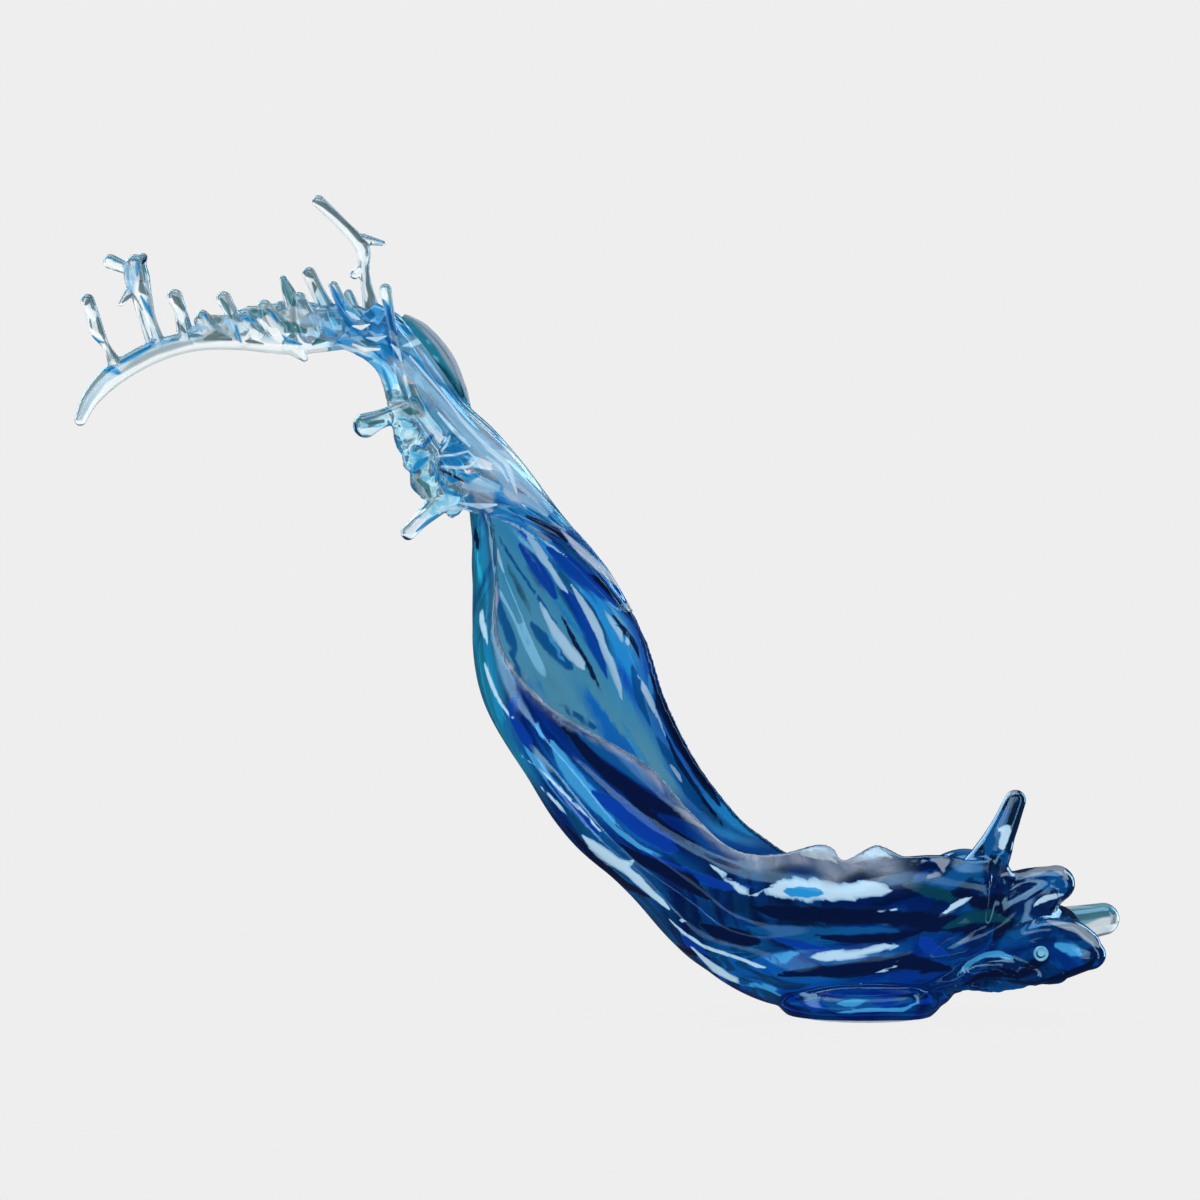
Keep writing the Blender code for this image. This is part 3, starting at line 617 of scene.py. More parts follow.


# resin: tinted glass, with fine skin and haze, that is slightly cloudy where it is thin, and cloudy matte
# under the painted streaks, which carry painted highlights and painted shade
resinSkin = {"flow": (9.0, 60.0, 0.0), "dimples": 90.0, "dimpleShare": 0.5, "distance": 0.0008,
             "hazeEdge": (0.45, 0.75), "cloudRoughness": 0.08}
veilShape = {"flow": (18.0, 95.0, 0.0), "edge": (0.30, 0.70), "share": 0.7}


def resin(name, look, paint):
    material, shader, wire = freshMaterial(name)
    here = wire.place()
    flow = wire.layer("flow", 1)
    colour, tint, cloudShare = paint(wire, here, flow)
    haze = here.grain(look["hazeScale"], 3.0).between(*resinSkin["hazeEdge"])
    haze = haze * look["haze"] + look["roughness"]
    dimples = here.grain(resinSkin["dimples"], 2.0) * resinSkin["dimpleShare"]
    skin = flow.scaled(resinSkin["flow"]).grain(1.0, 2.0, 0.6) + dimples
    bump = wire.make("ShaderNodeBump", {}, {"Height": skin, "Strength": look["bump"],
                                            "Distance": resinSkin["distance"]})
    feed(shader, {"IOR": look["ior"], "Transmission Weight": 1.0, "Specular IOR Level": look["shine"],
                  "Base Color": colour, "Roughness": haze, "Normal": bump})
    depth = wire.make("ShaderNodeVolumeAbsorption", {},
                      {"Color": (*look["depthColour"], 1), "Density": look["depth"]})
    cloudy = wire.make("ShaderNodeBsdfPrincipled", {},
                       {"Roughness": resinSkin["cloudRoughness"], "Specular IOR Level": look["shine"],
                        "Base Color": tint, "Normal": bump})
    glass = Wire(material.node_tree, shader.outputs[0])
    mixed = wire.make("ShaderNodeMixShader", {}, {0: cloudShare, 1: glass, 2: cloudy})
    feed(material.node_tree.nodes["Material Output"], {"Surface": mixed, "Volume": depth})
    return material


def cloudUnder(wire, flow, laid, gain, base):
    # how cloudy the cast is: its milky veils, or the painted streaks (painted highlights and painted shade
    # among them) where they are stronger
    veil = flow.scaled(veilShape["flow"]).grain(1.0, 3.0, 0.7).between(*veilShape["edge"])
    veil = wire.layer("milk") * (veil * veilShape["share"] + (1 - veilShape["share"]))
    return veil.sum("MAXIMUM", veil, laid * gain + base)


# streaks painted on the cast, drawn as seen from the front: tints of the resin, painted highlights, a painted
# window reflection and painted shade. For each face and tone there are lines, each with points of x, z and
# half width in millimetres
streaks = {
    # painted highlights
    ("sheet", "glint"): [
        [(-205, 292, 0.5), (-198, 284, 2.4), (-193, 276, 2.7), (-188, 269, 1.8), (-183, 260, 1.8),
         (-178, 255, 0.4)],
        [(-195, 250, 0.5), (-190, 238, 2.4), (-183, 227, 3.6), (-176, 218, 3.9), (-171, 213, 3),
         (-167, 208, 0.5)],
        [(-177, 261, 0.4), (-171, 252, 1.8), (-165, 242, 2.4), (-160, 232, 2.4), (-156, 221, 2.4),
         (-151, 209, 2.7), (-147, 197, 1.8), (-146, 190, 0.3)],
        [(-158, 247, 0.3), (-152, 238, 1.5), (-145, 228, 2.1), (-140, 224, 0.5)],
        [(-221, 281, 1.2), (-217, 268, 0.7)],
        [(-219, 299, 0.4), (-210, 296, 1.5), (-201, 290, 1.2), (-192, 286, 0.8), (-178, 276, 0.3)],
        [(-137, 206, 0.4), (-132, 197, 2.1), (-128, 188, 1.8), (-125, 181, 0.4)],
        [(-118, 154, 0.4), (-113, 147, 1.5), (-109, 140, 0.3)],
        [(-128, 191, 0.3), (-123, 178, 0.8), (-118, 164, 0.3)],
    ],
    ("sheet", "sky"): [
        [(-130, 206, 0.9), (-128, 196, 1.3)],
        [(-179, 254, 0.8), (-172, 244, 1.8), (-167, 234, 0.5)],
        [(-197, 251, 0.5), (-191, 234, 1.3), (-183, 218, 1.6), (-176, 205, 0.5)],
        [(-147, 179, 0.5), (-135, 157, 1.8), (-121, 133, 2), (-105, 113, 0.5)],
    ],
    ("sheet", "teal"): [
        [(-201, 238, 0.8), (-195, 230, 3.6), (-188, 222, 4.2), (-179, 214, 4.2), (-175, 208, 1.1)],
        [(-140, 212, 0.8), (-137, 200, 3), (-134, 188, 2.4), (-129, 176, 0.8)],
        [(-126, 170, 0.8), (-120, 160, 2.4), (-111, 146, 3), (-103, 134, 4.2), (-98, 125, 1.3)],
        [(-225, 300, 0.4), (-216, 282, 1), (-207, 268, 1), (-195, 251, 1), (-185, 236, 0.4)],
        [(-190, 186, 0.4), (-183, 187, 1.4), (-172, 181, 1.8), (-162, 174, 1.4), (-157, 170, 0.2)],
        [(-213, 221, 0.8), (-205, 197, 3), (-190, 176, 3), (-179, 164, 0.7)],
    ],
    ("sheet", "royal"): [
        [(-207, 284, 1.1), (-198, 272, 4.8), (-190, 260, 4.2), (-185, 251, 1.1)],
        [(-190, 282, 1.6), (-180, 274, 5.4), (-168, 264, 6), (-156, 256, 4.8), (-146, 247, 1.3)],
        [(-183, 260, 1.1), (-174, 248, 4.2), (-166, 233, 4.2), (-160, 218, 3.6), (-155, 205, 1.1)],
    ],
    # painted shade, near black
    ("sheet", "navyShade"): [
        [(-168, 268, 0.5), (-159, 262, 2.4), (-150, 254, 3), (-144, 247, 2.4), (-141, 241, 0.7)],
        [(-153, 244, 0.4), (-146, 234, 1.8), (-139, 226, 1.8), (-135, 215, 0.5)],
        [(-129, 208, 0.5), (-125, 197, 1.8), (-122, 188, 3.6), (-118, 179, 3.6), (-111, 164, 3),
         (-102, 150, 3), (-94, 138, 3), (-87, 127, 1)],
        [(-223, 293, 0.5), (-222, 284, 0.4)],
        [(-183, 244, 0.5), (-175, 227, 1.4), (-165, 210, 1.6), (-158, 194, 0.5)],
        [(-121, 173, 0.5), (-111, 152, 1.4), (-97, 131, 1.4), (-85, 115, 0.5)],
    ],
    # painted shade, near black
    ("any", "navyShade"): [
        [(-234, 296, 0.5), (-233, 287, 2.1), (-232, 279, 0.4)],
        [(-232, 227, 0.4), (-232, 218, 0.4)],
    ],
    ("any", "teal"): [
        [(-221, 263, 0.4), (-220, 251, 1.8), (-217, 239, 3), (-212, 227, 3), (-208, 218, 0.4)],
    ],
    # painted highlights
    ("any", "glint"): [
        [(-230, 249, 0.6), (-230, 239, 1.8), (-228, 230, 1.8), (-226, 223, 0.4)],
        [(-229, 214, 0.4), (-225, 203, 1.3), (-221, 193, 1.3), (-214, 182, 0.9), (-210, 178, 0.3)],
    ],
    # pale grey-lilac streaks, partly painted sheen
    ("any", "mistAndSheen"): [
        [(-215, 209, 0.7), (-212, 212, 1.8), (-207, 209, 1.8), (-202, 202, 1.5), (-197, 195, 1.2),
         (-192, 187, 0.4)],
    ],
    ("any", "royal"): [
        [(-207, 198, 0.5), (-211, 188, 2.4), (-212, 181, 1.8), (-208, 174, 3), (-203, 166, 4.2),
         (-200, 160, 0.5)],
    ],
    ("front", "teal"): [
        [(-183, 178, 0.4), (-171, 168, 3), (-159, 161, 4.2), (-144, 152, 4.8), (-129, 142, 4.8),
         (-118, 133, 0.5)],
        [(-72, 54, 0.5), (-51, 50, 4.8), (-21, 49, 5.4), (9, 50, 4.2), (24, 52, 0.4)],
        [(24, 79, 0.7), (39, 77, 4.8), (54, 83, 6), (66, 91, 5.4), (72, 79, 0.7)],
        [(73, 94, 0.6), (76, 106, 4.8), (81, 118, 4.8), (87, 127, 0.7)],
        [(103, 77, 0.6), (111, 80, 3.6), (118, 79, 0.4)],
        [(-44, 8, 0.8), (-9, 7, 5.4), (28, 10, 1.5)],
        [(81, 53, 0.7), (91, 49, 2.8), (101, 53, 2.6), (109, 58, 0.7)],
    ],
    # painted shade, near black: dark folds, grooves and bands
    ("front", "navyShade"): [
        [(-188, 182, 0.5), (-178, 172, 2.7), (-165, 157, 3.6), (-152, 145, 4.8), (-138, 135, 5.4),
         (-123, 127, 4.2), (-108, 121, 3), (-99, 115, 0.8)],
        [(-99, 116, 0.6), (-87, 108, 3), (-75, 102, 3.6), (-68, 97, 0.8)],
        [(-147, 104, 0.6), (-135, 95, 3.6), (-120, 88, 4.8), (-105, 80, 5.4), (-93, 71, 1.7)],
        [(-99, 56, 0.8), (-87, 50, 5.4), (-72, 47, 5.4), (-60, 44, 1)],
        [(-72, 67, 0.6), (-54, 63, 4.2), (-39, 62, 5.4), (-15, 61, 5.4), (9, 60, 4.8), (33, 58, 5.4),
         (51, 56, 6), (66, 55, 6.6), (76, 56, 1.9)],
        [(-54, 25, 0.8), (-33, 27, 3.6), (-9, 27, 5.4), (9, 31, 5.4), (24, 34, 4.8), (36, 31, 5.4),
         (51, 29, 1.5)],
        [(45, 72, 0.6), (60, 75, 2.4), (69, 68, 4.8), (82, 70, 4.8), (84, 56, 6), (78, 47, 1.7)],
        [(60, 19, 0.4), (72, 26, 3), (84, 27, 3.6), (93, 25, 3), (102, 31, 4.8), (111, 36, 1.3)],
        [(76, 97, 1), (75, 88, 1)],
        [(87, 82, 1), (97, 80, 1.3)],
        [(124, 77, 0.6), (119, 69, 1.8), (111, 64, 0.6)],
        [(141, 37, 0.8), (133, 29, 2.7), (120, 25, 1.8), (108, 22, 0.4)],
        [(-155, 148, 0.5), (-140, 131, 2.4), (-121, 115, 2.6), (-99, 103, 0.5)],
        [(-183, 119, 0.5), (-164, 97, 2.4), (-145, 80, 2.6), (-125, 70, 0.5)],
        [(-159, 71, 0.5), (-137, 53, 2.4), (-113, 41, 2.8), (-92, 35, 0.5)],
        [(-32, 49, 0.5), (-9, 46, 2.8), (21, 48, 2.8), (45, 55, 0.5)],
    ],
    ("front", "sky"): [
        [(-188, 166, 1.1), (-182, 155, 4.2), (-175, 144, 4.8), (-165, 133, 4.8), (-157, 124, 3.6),
         (-149, 116, 0.8)],
        [(-197, 176, 1.2), (-194, 168, 1.3)],
        [(-158, 121, 0.8), (-147, 111, 1.5), (-135, 102, 1.3), (-123, 97, 1), (-112, 98, 0.8),
         (-115, 105, 0.3)],
        [(-160, 94, 0.8), (-150, 85, 2.4), (-140, 78, 0.8)],
        [(-74, 19, 0.8), (-63, 19, 1.5), (-54, 16, 1.8), (-50, 12, 0.5)],
        [(-60, 34, 1.1), (-48, 36, 4.2), (-39, 38, 1.3)],
        [(-16, 8, 0.8), (-8, 8, 2.4), (2, 10, 0.5)],
        [(-18, 2, 0.4), (3, 4, 1.1), (24, 4, 1.4), (31, 8, 0.6)],
        [(56, 25, 0.5), (63, 32, 1.8), (72, 37, 1.8), (81, 38, 2.4), (89, 35, 1.1)],
        [(116, 43, 1.9), (125, 40, 4.2), (131, 37, 1.1)],
        [(-207, 166, 0.5), (-196, 152, 2.4), (-185, 137, 2.6), (-176, 124, 0.5)],
    ],
    ("front", "royal"): [
        [(-165, 137, 0.4), (-155, 130, 4.8), (-144, 122, 6), (-130, 112, 6.6), (-118, 103, 4.8),
         (-111, 100, 0.4)],
        [(-192, 144, 0.4), (-180, 132, 2.4), (-168, 120, 3), (-159, 109, 0.4)],
        [(-112, 53, 0.4), (-105, 44, 3), (-96, 36, 3), (-91, 31, 0.4)],
        [(-40, 9, 0.4), (-30, 6, 3.6), (-20, 5, 0.4)],
        [(30, 48, 0.6), (39, 42, 4.8), (51, 37, 0.6)],
        [(3, 9, 0.4), (12, 8, 3), (21, 9, 0.4)],
        [(-135, 100, 0.5), (-111, 88, 2.8), (-85, 79, 3), (-61, 77, 0.5)],
        [(-57, 48, 0.5), (-39, 43, 2.6), (-15, 37, 2.6), (9, 36, 0.5)],
    ],
    # painted highlights, the window highlight among them
    ("front", "glint"): [
        [(-207, 158, 0.3), (-195, 149, 0.8), (-183, 137, 0.8), (-171, 125, 1), (-159, 112, 0.8),
         (-154, 104, 0.3)],
        [(-195, 139, 0.4), (-186, 130, 1.2), (-177, 120, 0.4)],
        [(-170, 110, 0.5), (-164, 104, 3), (-154, 96, 4.2), (-146, 91, 3.6), (-137, 94, 0.5)],
        [(-146, 91, 1.3), (-137, 83, 2.7), (-129, 75, 2.1), (-122, 69, 1.8), (-116, 64, 0.4)],
        [(-113, 59, 0.3), (-109, 58, 1.2), (-103, 58, 0.3)],
        [(-118, 59, 0.3), (-108, 50, 0.9), (-96, 42, 1.1), (-84, 38, 0.9), (-72, 34, 1.2), (-63, 30, 1.3),
         (-57, 29, 0.3)],
        [(-105, 43, 0.4), (-97, 35, 1.2), (-89, 28, 2.4), (-81, 24, 2.4), (-74, 20, 0.7)],
        [(-94, 93, 0.4), (-87, 87, 1.8), (-79, 80, 2.1), (-72, 76, 2.4), (-63, 73, 1.1)],
        [(-60, 76, 1.1), (-50, 77, 6), (-39, 77, 7.2), (-24, 76, 6.6), (-9, 75, 5.1), (3, 77, 6),
         (12, 76, 3.6), (17, 76, 0.5)],
        [(-38, 33, 0.4), (-30, 35, 2.4), (-18, 37, 3.3), (-6, 38, 3), (6, 40, 2.7), (18, 43, 2.1),
         (25, 45, 0.4)],
        [(-2, 20, 0.4), (6, 25, 1), (15, 29, 0.8), (24, 35, 0.3)],
        [(47, 62, 0.4), (54, 67, 1.8), (60, 70, 1.6), (65, 73, 0.4)],
        [(4, 62, 0.3), (15, 64, 1), (25, 65, 0.3)],
        [(80, 113, 1.1), (86, 113, 3), (83, 104, 2.7), (82, 99, 0.5)],
        [(102, 67, 0.7), (108, 71, 1.8), (116, 73, 1.5), (121, 74, 0.3)],
    ],
    # painted reflection: the blue pane of a window inside the painted window highlight
    ("front", "pane"): [
        [(-45, 75, 3.3), (-28, 75, 3.3)],
    ],
    # pale grey-lilac streaks, partly painted sheen along the finger edges
    ("front", "mistAndSheen"): [
        [(20, 91, 0.7), (28, 91, 0.9), (38, 95, 0.6), (50, 94, 1.6), (45, 86, 2.2), (35, 83, 0.4)],
        [(58, 98, 0.5), (66, 106, 1.3), (73, 116, 1.6), (79, 127, 1.8), (85, 134, 2.7), (91, 136, 1.2)],
        [(81, 85, 0.8), (86, 86, 1.2), (94, 85, 1.2), (103, 87, 2.4), (111, 91, 2.7), (118, 89, 3),
         (122, 83, 0.8)],
        [(109, 58, 0.5), (117, 56, 1.8), (128, 53, 2.7), (136, 47, 3), (141, 42, 0.8)],
    ],
    ("fin", "pearl"): [
        [(-279.2, 422.8, 1.2), (-270.2, 419.8, 2.4), (-262.2, 411.8, 2.7), (-254.2, 403.8, 2.7),
         (-247.2, 392.8, 2.4), (-241.2, 381.8, 1.9), (-237.2, 369.8, 1.2)],
    ],
    ("fin", "petrol"): [
        [(-260, 395, 1.2), (-254, 386, 4.2), (-248, 376, 4.8), (-242, 366, 4.2), (-239, 360, 1.8)],
    ],
    # softer pale blue painted highlights
    ("fin", "iceHighlight"): [
        [(-249, 381, 0.6), (-247, 376, 0.8)],
        [(-241, 370, 0.7), (-241, 367, 0.6)],
    ],
    # painted highlights
    ("crest sheet", "glint"): [
        [(-277, 403, 0.6), (-272, 404, 2.1), (-267, 406, 1.8), (-263, 407, 0.6)],
    ],
    ("crest sheet", "azure"): [
        [(-280, 416, 0.6), (-274, 412, 1.8), (-269, 409, 0.8)],
        [(-226, 302, 0.6), (-216, 305, 2.4), (-207, 304, 2.8), (-201, 301, 1.2)],
    ],
    ("crest sheet", "petrol"): [
        [(-281, 419, 0.5), (-274, 416, 1), (-268, 412, 0.8)],
    ],
    ("crest", "azure"): [
        [(-277, 400, 0.6), (-268, 394, 1.6), (-261, 386, 1.7), (-252, 377, 1.3), (-244, 368, 1),
         (-239, 362, 0.6)],
        [(-255, 344, 0.8), (-249, 342, 3), (-242, 340, 3), (-236, 338, 1)],
        [(-254, 334, 1.8), (-246, 334, 3), (-238, 335, 1.4)],
        [(-243, 326, 1.2), (-238, 324, 3), (-232, 326, 1.4)],
        [(-251, 325, 1.2), (-248, 323, 2.4), (-244, 323, 1.2)],
        [(-260, 334, 0.7), (-256, 324, 1.6), (-251, 316, 1.8), (-242, 313, 0.8)],
        [(-272, 328, 1.2), (-267, 333, 2.4), (-262, 336, 1.2)],
        [(-289, 390, 0.7), (-286, 382, 1.7), (-284, 375, 0.8)],
        [(-286, 358, 0.7), (-284, 354, 1.6), (-284, 350, 0.6)],
        [(-269, 292, 0.7), (-262, 298, 1.4), (-256, 302, 0.7)],
    ],
    # softer pale blue painted highlights
    ("crest", "iceHighlight"): [
        [(-276, 394, 0.7), (-267, 384, 1.5), (-255, 371, 2.2), (-246, 360, 3.3), (-234, 348, 4.8),
         (-219, 336, 5.2), (-207, 325, 4.5), (-196, 314, 3), (-188, 304, 1.1)],
        [(-223, 331, 1.2), (-218, 324, 3), (-212, 316, 1.8)],
        [(-208, 314, 1.2), (-199, 309, 3), (-191, 302, 1.2)],
        [(-284, 391, 0.8), (-273, 386, 1.8), (-265, 378, 0.8)],
        [(-241, 319, 1.2), (-231, 320, 4.2), (-221, 318, 2.4)],
    ],
    # painted highlights
    ("crest", "glint"): [
        [(-273, 397, 0.7), (-261, 383, 0.8), (-250, 370, 0.8), (-242, 359, 1.2), (-231, 347, 1.3),
         (-225, 341, 1.6), (-216, 334, 1.9), (-212, 325, 1.8), (-209, 315, 0.7)],
        [(-256, 363, 0.7), (-246, 352, 1.6), (-237, 343, 0.8)],
        [(-227, 337, 0.7), (-219, 331, 1), (-214, 322, 0.7)],
        [(-256, 337, 0.7), (-246, 338, 0.8), (-238, 340, 0.8), (-233, 335, 0.7)],
        [(-254, 331, 0.7), (-244, 330, 1), (-237, 331, 0.9), (-232, 336, 0.7)],
        [(-249, 349, 0.7), (-251, 344, 0.8), (-254, 340, 0.7)],
        [(-243, 309, 0.7), (-231, 307, 1.8), (-221, 308, 0.7)],
        [(-257, 304, 0.7), (-246, 306, 1.6), (-236, 304, 0.7)],
    ],
    # pale grey-lilac streaks, partly painted sheen
    ("crest", "mistAndSheen"): [
        [(-244, 357, 0.8), (-236, 347, 1.8), (-227, 338, 0.8)],
    ],
    # painted shade, grey
    ("crest", "ash"): [
        [(-286, 368, 1.8), (-279, 367, 4.8), (-271, 364, 4.8), (-265, 362, 1.8)],
        [(-269, 325, 1.8), (-265, 317, 3.6), (-260, 311, 1.8)],
    ],
    # painted shade, grey-green
    ("crest", "mossShade"): [
        [(-278, 366, 0.9), (-273, 364, 2.4), (-268, 363, 1)],
        [(-283, 372, 1), (-275, 372, 1.1)],
        [(-268, 323, 1), (-263, 319, 1.8), (-261, 313, 1)],
        [(-304, 359, 0.8), (-297, 357, 1.4), (-289, 358, 1.1)],
    ],
    ("crest", "cobalt"): [
        [(-255, 341, 0.8), (-254, 332, 1), (-253, 326, 0.6)],
        [(-269, 343, 0.6), (-265, 343, 1.8), (-260, 349, 1.6)],
    ],
    # painted shade, near black
    ("crest", "navyShade"): [
        [(-255, 329, 0.5), (-248, 326, 1), (-241, 322, 0.5)],
        [(-306, 358, 0.5), (-305, 352, 1), (-302, 349, 0.5)],
        [(-277, 289, 0.7), (-274, 287, 1.4), (-271, 286, 0.7)],
    ],
    ("crest sheet", "cobalt"): [
        [(-214, 306, 0.6), (-209, 302, 1), (-205, 298, 0.6)],
    ],
    # painted shade, near black
    ("crest sheet", "navyShade"): [
        [(-203, 301, 0.8), (-195, 297, 2.4), (-186, 292, 3), (-179, 286, 1.2)],
    ],
    # pale grey-lilac streaks, partly painted sheen
    ("crest sheet", "mistAndSheen"): [
        [(-202, 295, 0.6), (-195, 290, 1.6), (-188, 286, 0.6)],
    ],
    ("crest sheet", "pearl"): [
        [(-182, 292, 0.9), (-170, 280, 2.4), (-161, 272, 2.4), (-152, 264, 2), (-144, 256, 0.9)],
    ],
    # near-white painted highlights
    ("crest", "whiteHighlight"): [
        [(-302, 352, 1.2), (-296, 352, 2.4), (-290, 353, 1.2)],
        [(-276, 296, 0.7), (-271, 301, 1.4), (-264, 305, 0.8)],
    ],
    ("crest arm", "azure"): [
        [(-317, 433, 0.7), (-314, 425, 2.4), (-310, 418, 3), (-304, 413, 2.4), (-297, 413, 1)],
        [(-290, 404, 1.2), (-284, 400, 3.6), (-278, 396, 1.8)],
        [(-310, 400, 0.8), (-303, 396, 2.4), (-296, 395, 1)],
    ],
    ("crest arm", "sky"): [
        [(-294, 427, 1.8), (-291, 422, 2.4), (-292, 417, 1.2)],
        [(-281, 416, 0.8), (-276, 413, 2.4), (-269, 410, 0.8)],
        [(-324, 414, 0.8), (-321, 411, 2.4), (-317, 409, 1)],
        [(-315, 407, 1.2), (-310, 405, 3), (-307, 406, 1.2)],
        [(-296, 393, 1.2), (-289, 388, 3), (-284, 379, 1.1)],
    ],
    ("crest arm", "cobalt"): [
        [(-289, 431, 0.6), (-286, 424, 1.8), (-284, 416, 2.4), (-281, 410, 1.2)],
        [(-287, 408, 1.2), (-283, 404, 3), (-280, 397, 1.2)],
    ],
    # painted shade, grey-green
    ("crest arm", "mossShade"): [
        [(-302, 406, 0.6), (-298, 404, 1.1), (-291, 404, 0.5)],
    ],
    # near-white painted highlights
    ("crest arm", "whiteHighlight"): [
        [(-307, 404, 0.6), (-300, 401, 1.4), (-291, 401, 0.6)],
        [(-307, 415, 0.5), (-302, 414, 1.6), (-297, 416, 0.4)],
    ],
    # softer pale blue painted highlights
    ("crest arm", "iceHighlight"): [
        [(-320, 404, 1.2), (-315, 400, 2.2), (-308, 398, 0.6)],
        [(-297, 412, 0.7), (-293, 409, 1.4), (-289, 410, 0.6)],
        [(-296, 418, 0.6), (-291, 420, 1.8), (-287, 424, 0.5)],
        [(-319, 413, 0.6), (-315, 410, 2), (-310, 409, 0.6)],
        [(-308, 408, 0.6), (-303, 407, 2), (-299, 403, 0.6)],
    ],
    # painted shade, grey: the darker upper band of the arm
    ("arm", "ash"): [
        [(-471, 361, 2), (-469, 372, 4.5), (-463, 384, 5.3), (-456, 392, 4.1), (-453, 396, 1.6)],
        [(-446, 386, 1.2), (-438, 392, 2.4), (-429, 397, 3), (-417, 402, 3), (-404, 405, 1.8)],
        [(-401, 406, 1.2), (-390, 409, 4.8), (-380, 414, 4.2), (-377, 408, 1.8)],
        [(-372, 425, 1.2), (-365, 427, 3), (-358, 427, 3), (-353, 422, 1.2)],
        [(-350, 422, 1.8), (-343, 422, 4.8), (-337, 420, 1.8)],
        [(-430, 442, 1.2), (-427, 431, 2.4), (-425, 420, 2.4), (-422, 410, 1.2)],
        [(-414, 434, 1.2), (-410, 435, 2.8), (-406, 430, 1.4)],
        [(-385, 433, 1.8), (-381, 431, 2.4), (-379, 425, 1.4)],
        [(-314, 437, 1.2), (-311, 433, 2), (-308, 427, 1.2)],
        [(-329, 492, 1.8), (-318, 487, 2.4), (-309, 478, 2.2), (-299, 469, 1)],
    ],
    ("arm", "azure"): [
        [(-457, 389, 1), (-451, 389, 2.4), (-446, 386, 1)],
        [(-446, 393, 1.2), (-438, 397, 1.8), (-430, 402, 1.5), (-425, 407, 0.6)],
        [(-357, 424, 0.6), (-354, 421, 1.6), (-352, 417, 0.6)],
        [(-377, 415, 0.8), (-376, 410, 1.6), (-374, 405, 0.8)],
        [(-374, 421, 0.8), (-370, 419, 1.9), (-365, 418, 0.8)],
        [(-398, 422, 0.6), (-395, 421, 1.4), (-394, 418, 0.6)],
        [(-406, 418, 0.5), (-403, 419, 1.1), (-401, 416, 0.5)],
        [(-352, 411, 0.6), (-346, 406, 1.9), (-338, 404, 0.8)],
        [(-463, 409, 0.6), (-460, 406, 1.4), (-456, 405, 0.6)],
        [(-436, 454, 0.8), (-436, 449, 1.6), (-436, 445, 0.6)],
        [(-434, 433, 0.6), (-430, 426, 1.8), (-427, 420, 0.6)],
        [(-309, 445, 0.5), (-307, 443, 1), (-302, 443, 0.4)],
    ],
    # softer pale blue painted highlights
    ("arm", "iceHighlight"): [
        [(-427, 403, 0.8), (-421, 405, 1.8), (-417, 407, 1)],
        [(-385, 420, 1), (-380, 416, 2.2), (-380, 412, 1)],
        [(-405, 412, 1), (-400, 414, 2.4), (-395, 414, 1.2)],
        [(-338, 418, 1.2), (-331, 419, 3), (-322, 415, 1.8)],
        [(-443, 451, 1.8), (-440, 443, 3.6), (-440, 434, 1.8)],
        [(-295, 464, 0.5), (-291, 464, 1), (-289, 464, 0.5)],
    ],
    # painted shade, dark grey-green: the dark cores of the drips
    ("arm", "slateShade"): [
        [(-396, 407, 0.8), (-389, 409, 3.2), (-380, 407, 1)],
        [(-371, 406, 0.7), (-367, 405, 2), (-361, 404, 0.8)],
        [(-434, 391, 0.5), (-429, 393, 0.8)],
        [(-467, 428, 1), (-464, 432, 2.4), (-461, 428, 1)],
        [(-460, 420, 0.6), (-458, 414, 1.8), (-456, 408, 0.8)],
        [(-453, 405, 0.6), (-451, 401, 1.7), (-448, 396, 0.7)],
        [(-434, 442, 1), (-433, 437, 2.6), (-430, 434, 1)],
        [(-445, 429, 0.5), (-442, 432, 1.3), (-439, 434, 0.6)],
        [(-415, 433, 0.8), (-412, 430, 2.3), (-408, 425, 1)],
        [(-412, 417, 0.6), (-410, 414, 1.7), (-407, 411, 0.6)],
        [(-337, 448, 0.8), (-334, 446, 1.9), (-331, 444, 0.7)],
        [(-331, 441, 0.6), (-330, 438, 1.7), (-330, 435, 0.6)],
        [(-331, 490, 0.7), (-324, 487, 1.6), (-315, 480, 1.7), (-308, 473, 1.7), (-303, 467, 1.7),
         (-298, 464, 0.7)],
        [(-296, 465, 0.5), (-296, 457, 1), (-298, 449, 1.1), (-298, 440, 1.3), (-296, 433, 1.7),
         (-297, 427, 2.4)],
    ],
    # near-white painted highlights, the bright underside of the arm among them
    ("arm", "whiteHighlight"): [
        [(-467, 355, 1), (-463, 367, 1.8), (-453, 379, 2.6), (-438, 387, 3.2), (-423, 394, 3.8),
         (-405, 400, 3.4), (-387, 403, 3.2), (-369, 402, 2.8), (-351, 400, 3), (-333, 398, 3),
         (-323, 401, 1.2)],
        [(-372, 407, 0.8), (-367, 411, 2.4), (-362, 409, 1.4)],
        [(-359, 414, 0.7), (-353, 412, 1.9), (-349, 407, 0.7)],
        [(-466, 425, 1.2), (-463, 422, 2.6), (-462, 419, 1.2)],
        [(-454, 454, 1.4), (-451, 451, 2.6), (-446, 451, 1.2)],
        [(-433, 424, 0.6), (-430, 415, 1.6), (-428, 408, 0.6)],
        [(-413, 424, 1.8), (-410, 421, 3), (-409, 418, 1.2)],
        [(-336, 443, 1.2), (-334, 438, 2.8), (-331, 432, 1.6)],
        [(-330, 487, 0.8), (-321, 480, 2), (-312, 472, 2), (-306, 465, 2), (-302, 460, 2.4), (-302, 455, 1)],
        [(-307, 449, 0.8), (-304, 448, 2), (-301, 448, 0.7)],
        [(-301, 441, 0.6), (-300, 434, 1.6), (-299, 430, 0.6)],
        [(-289, 437, 1), (-288, 433, 2), (-287, 431, 0.8)],
    ],
    # painted shade, grey-green
    ("arm", "mossShade"): [
        [(-367, 424, 1.2), (-362, 422, 2.6), (-358, 424, 1.4)],
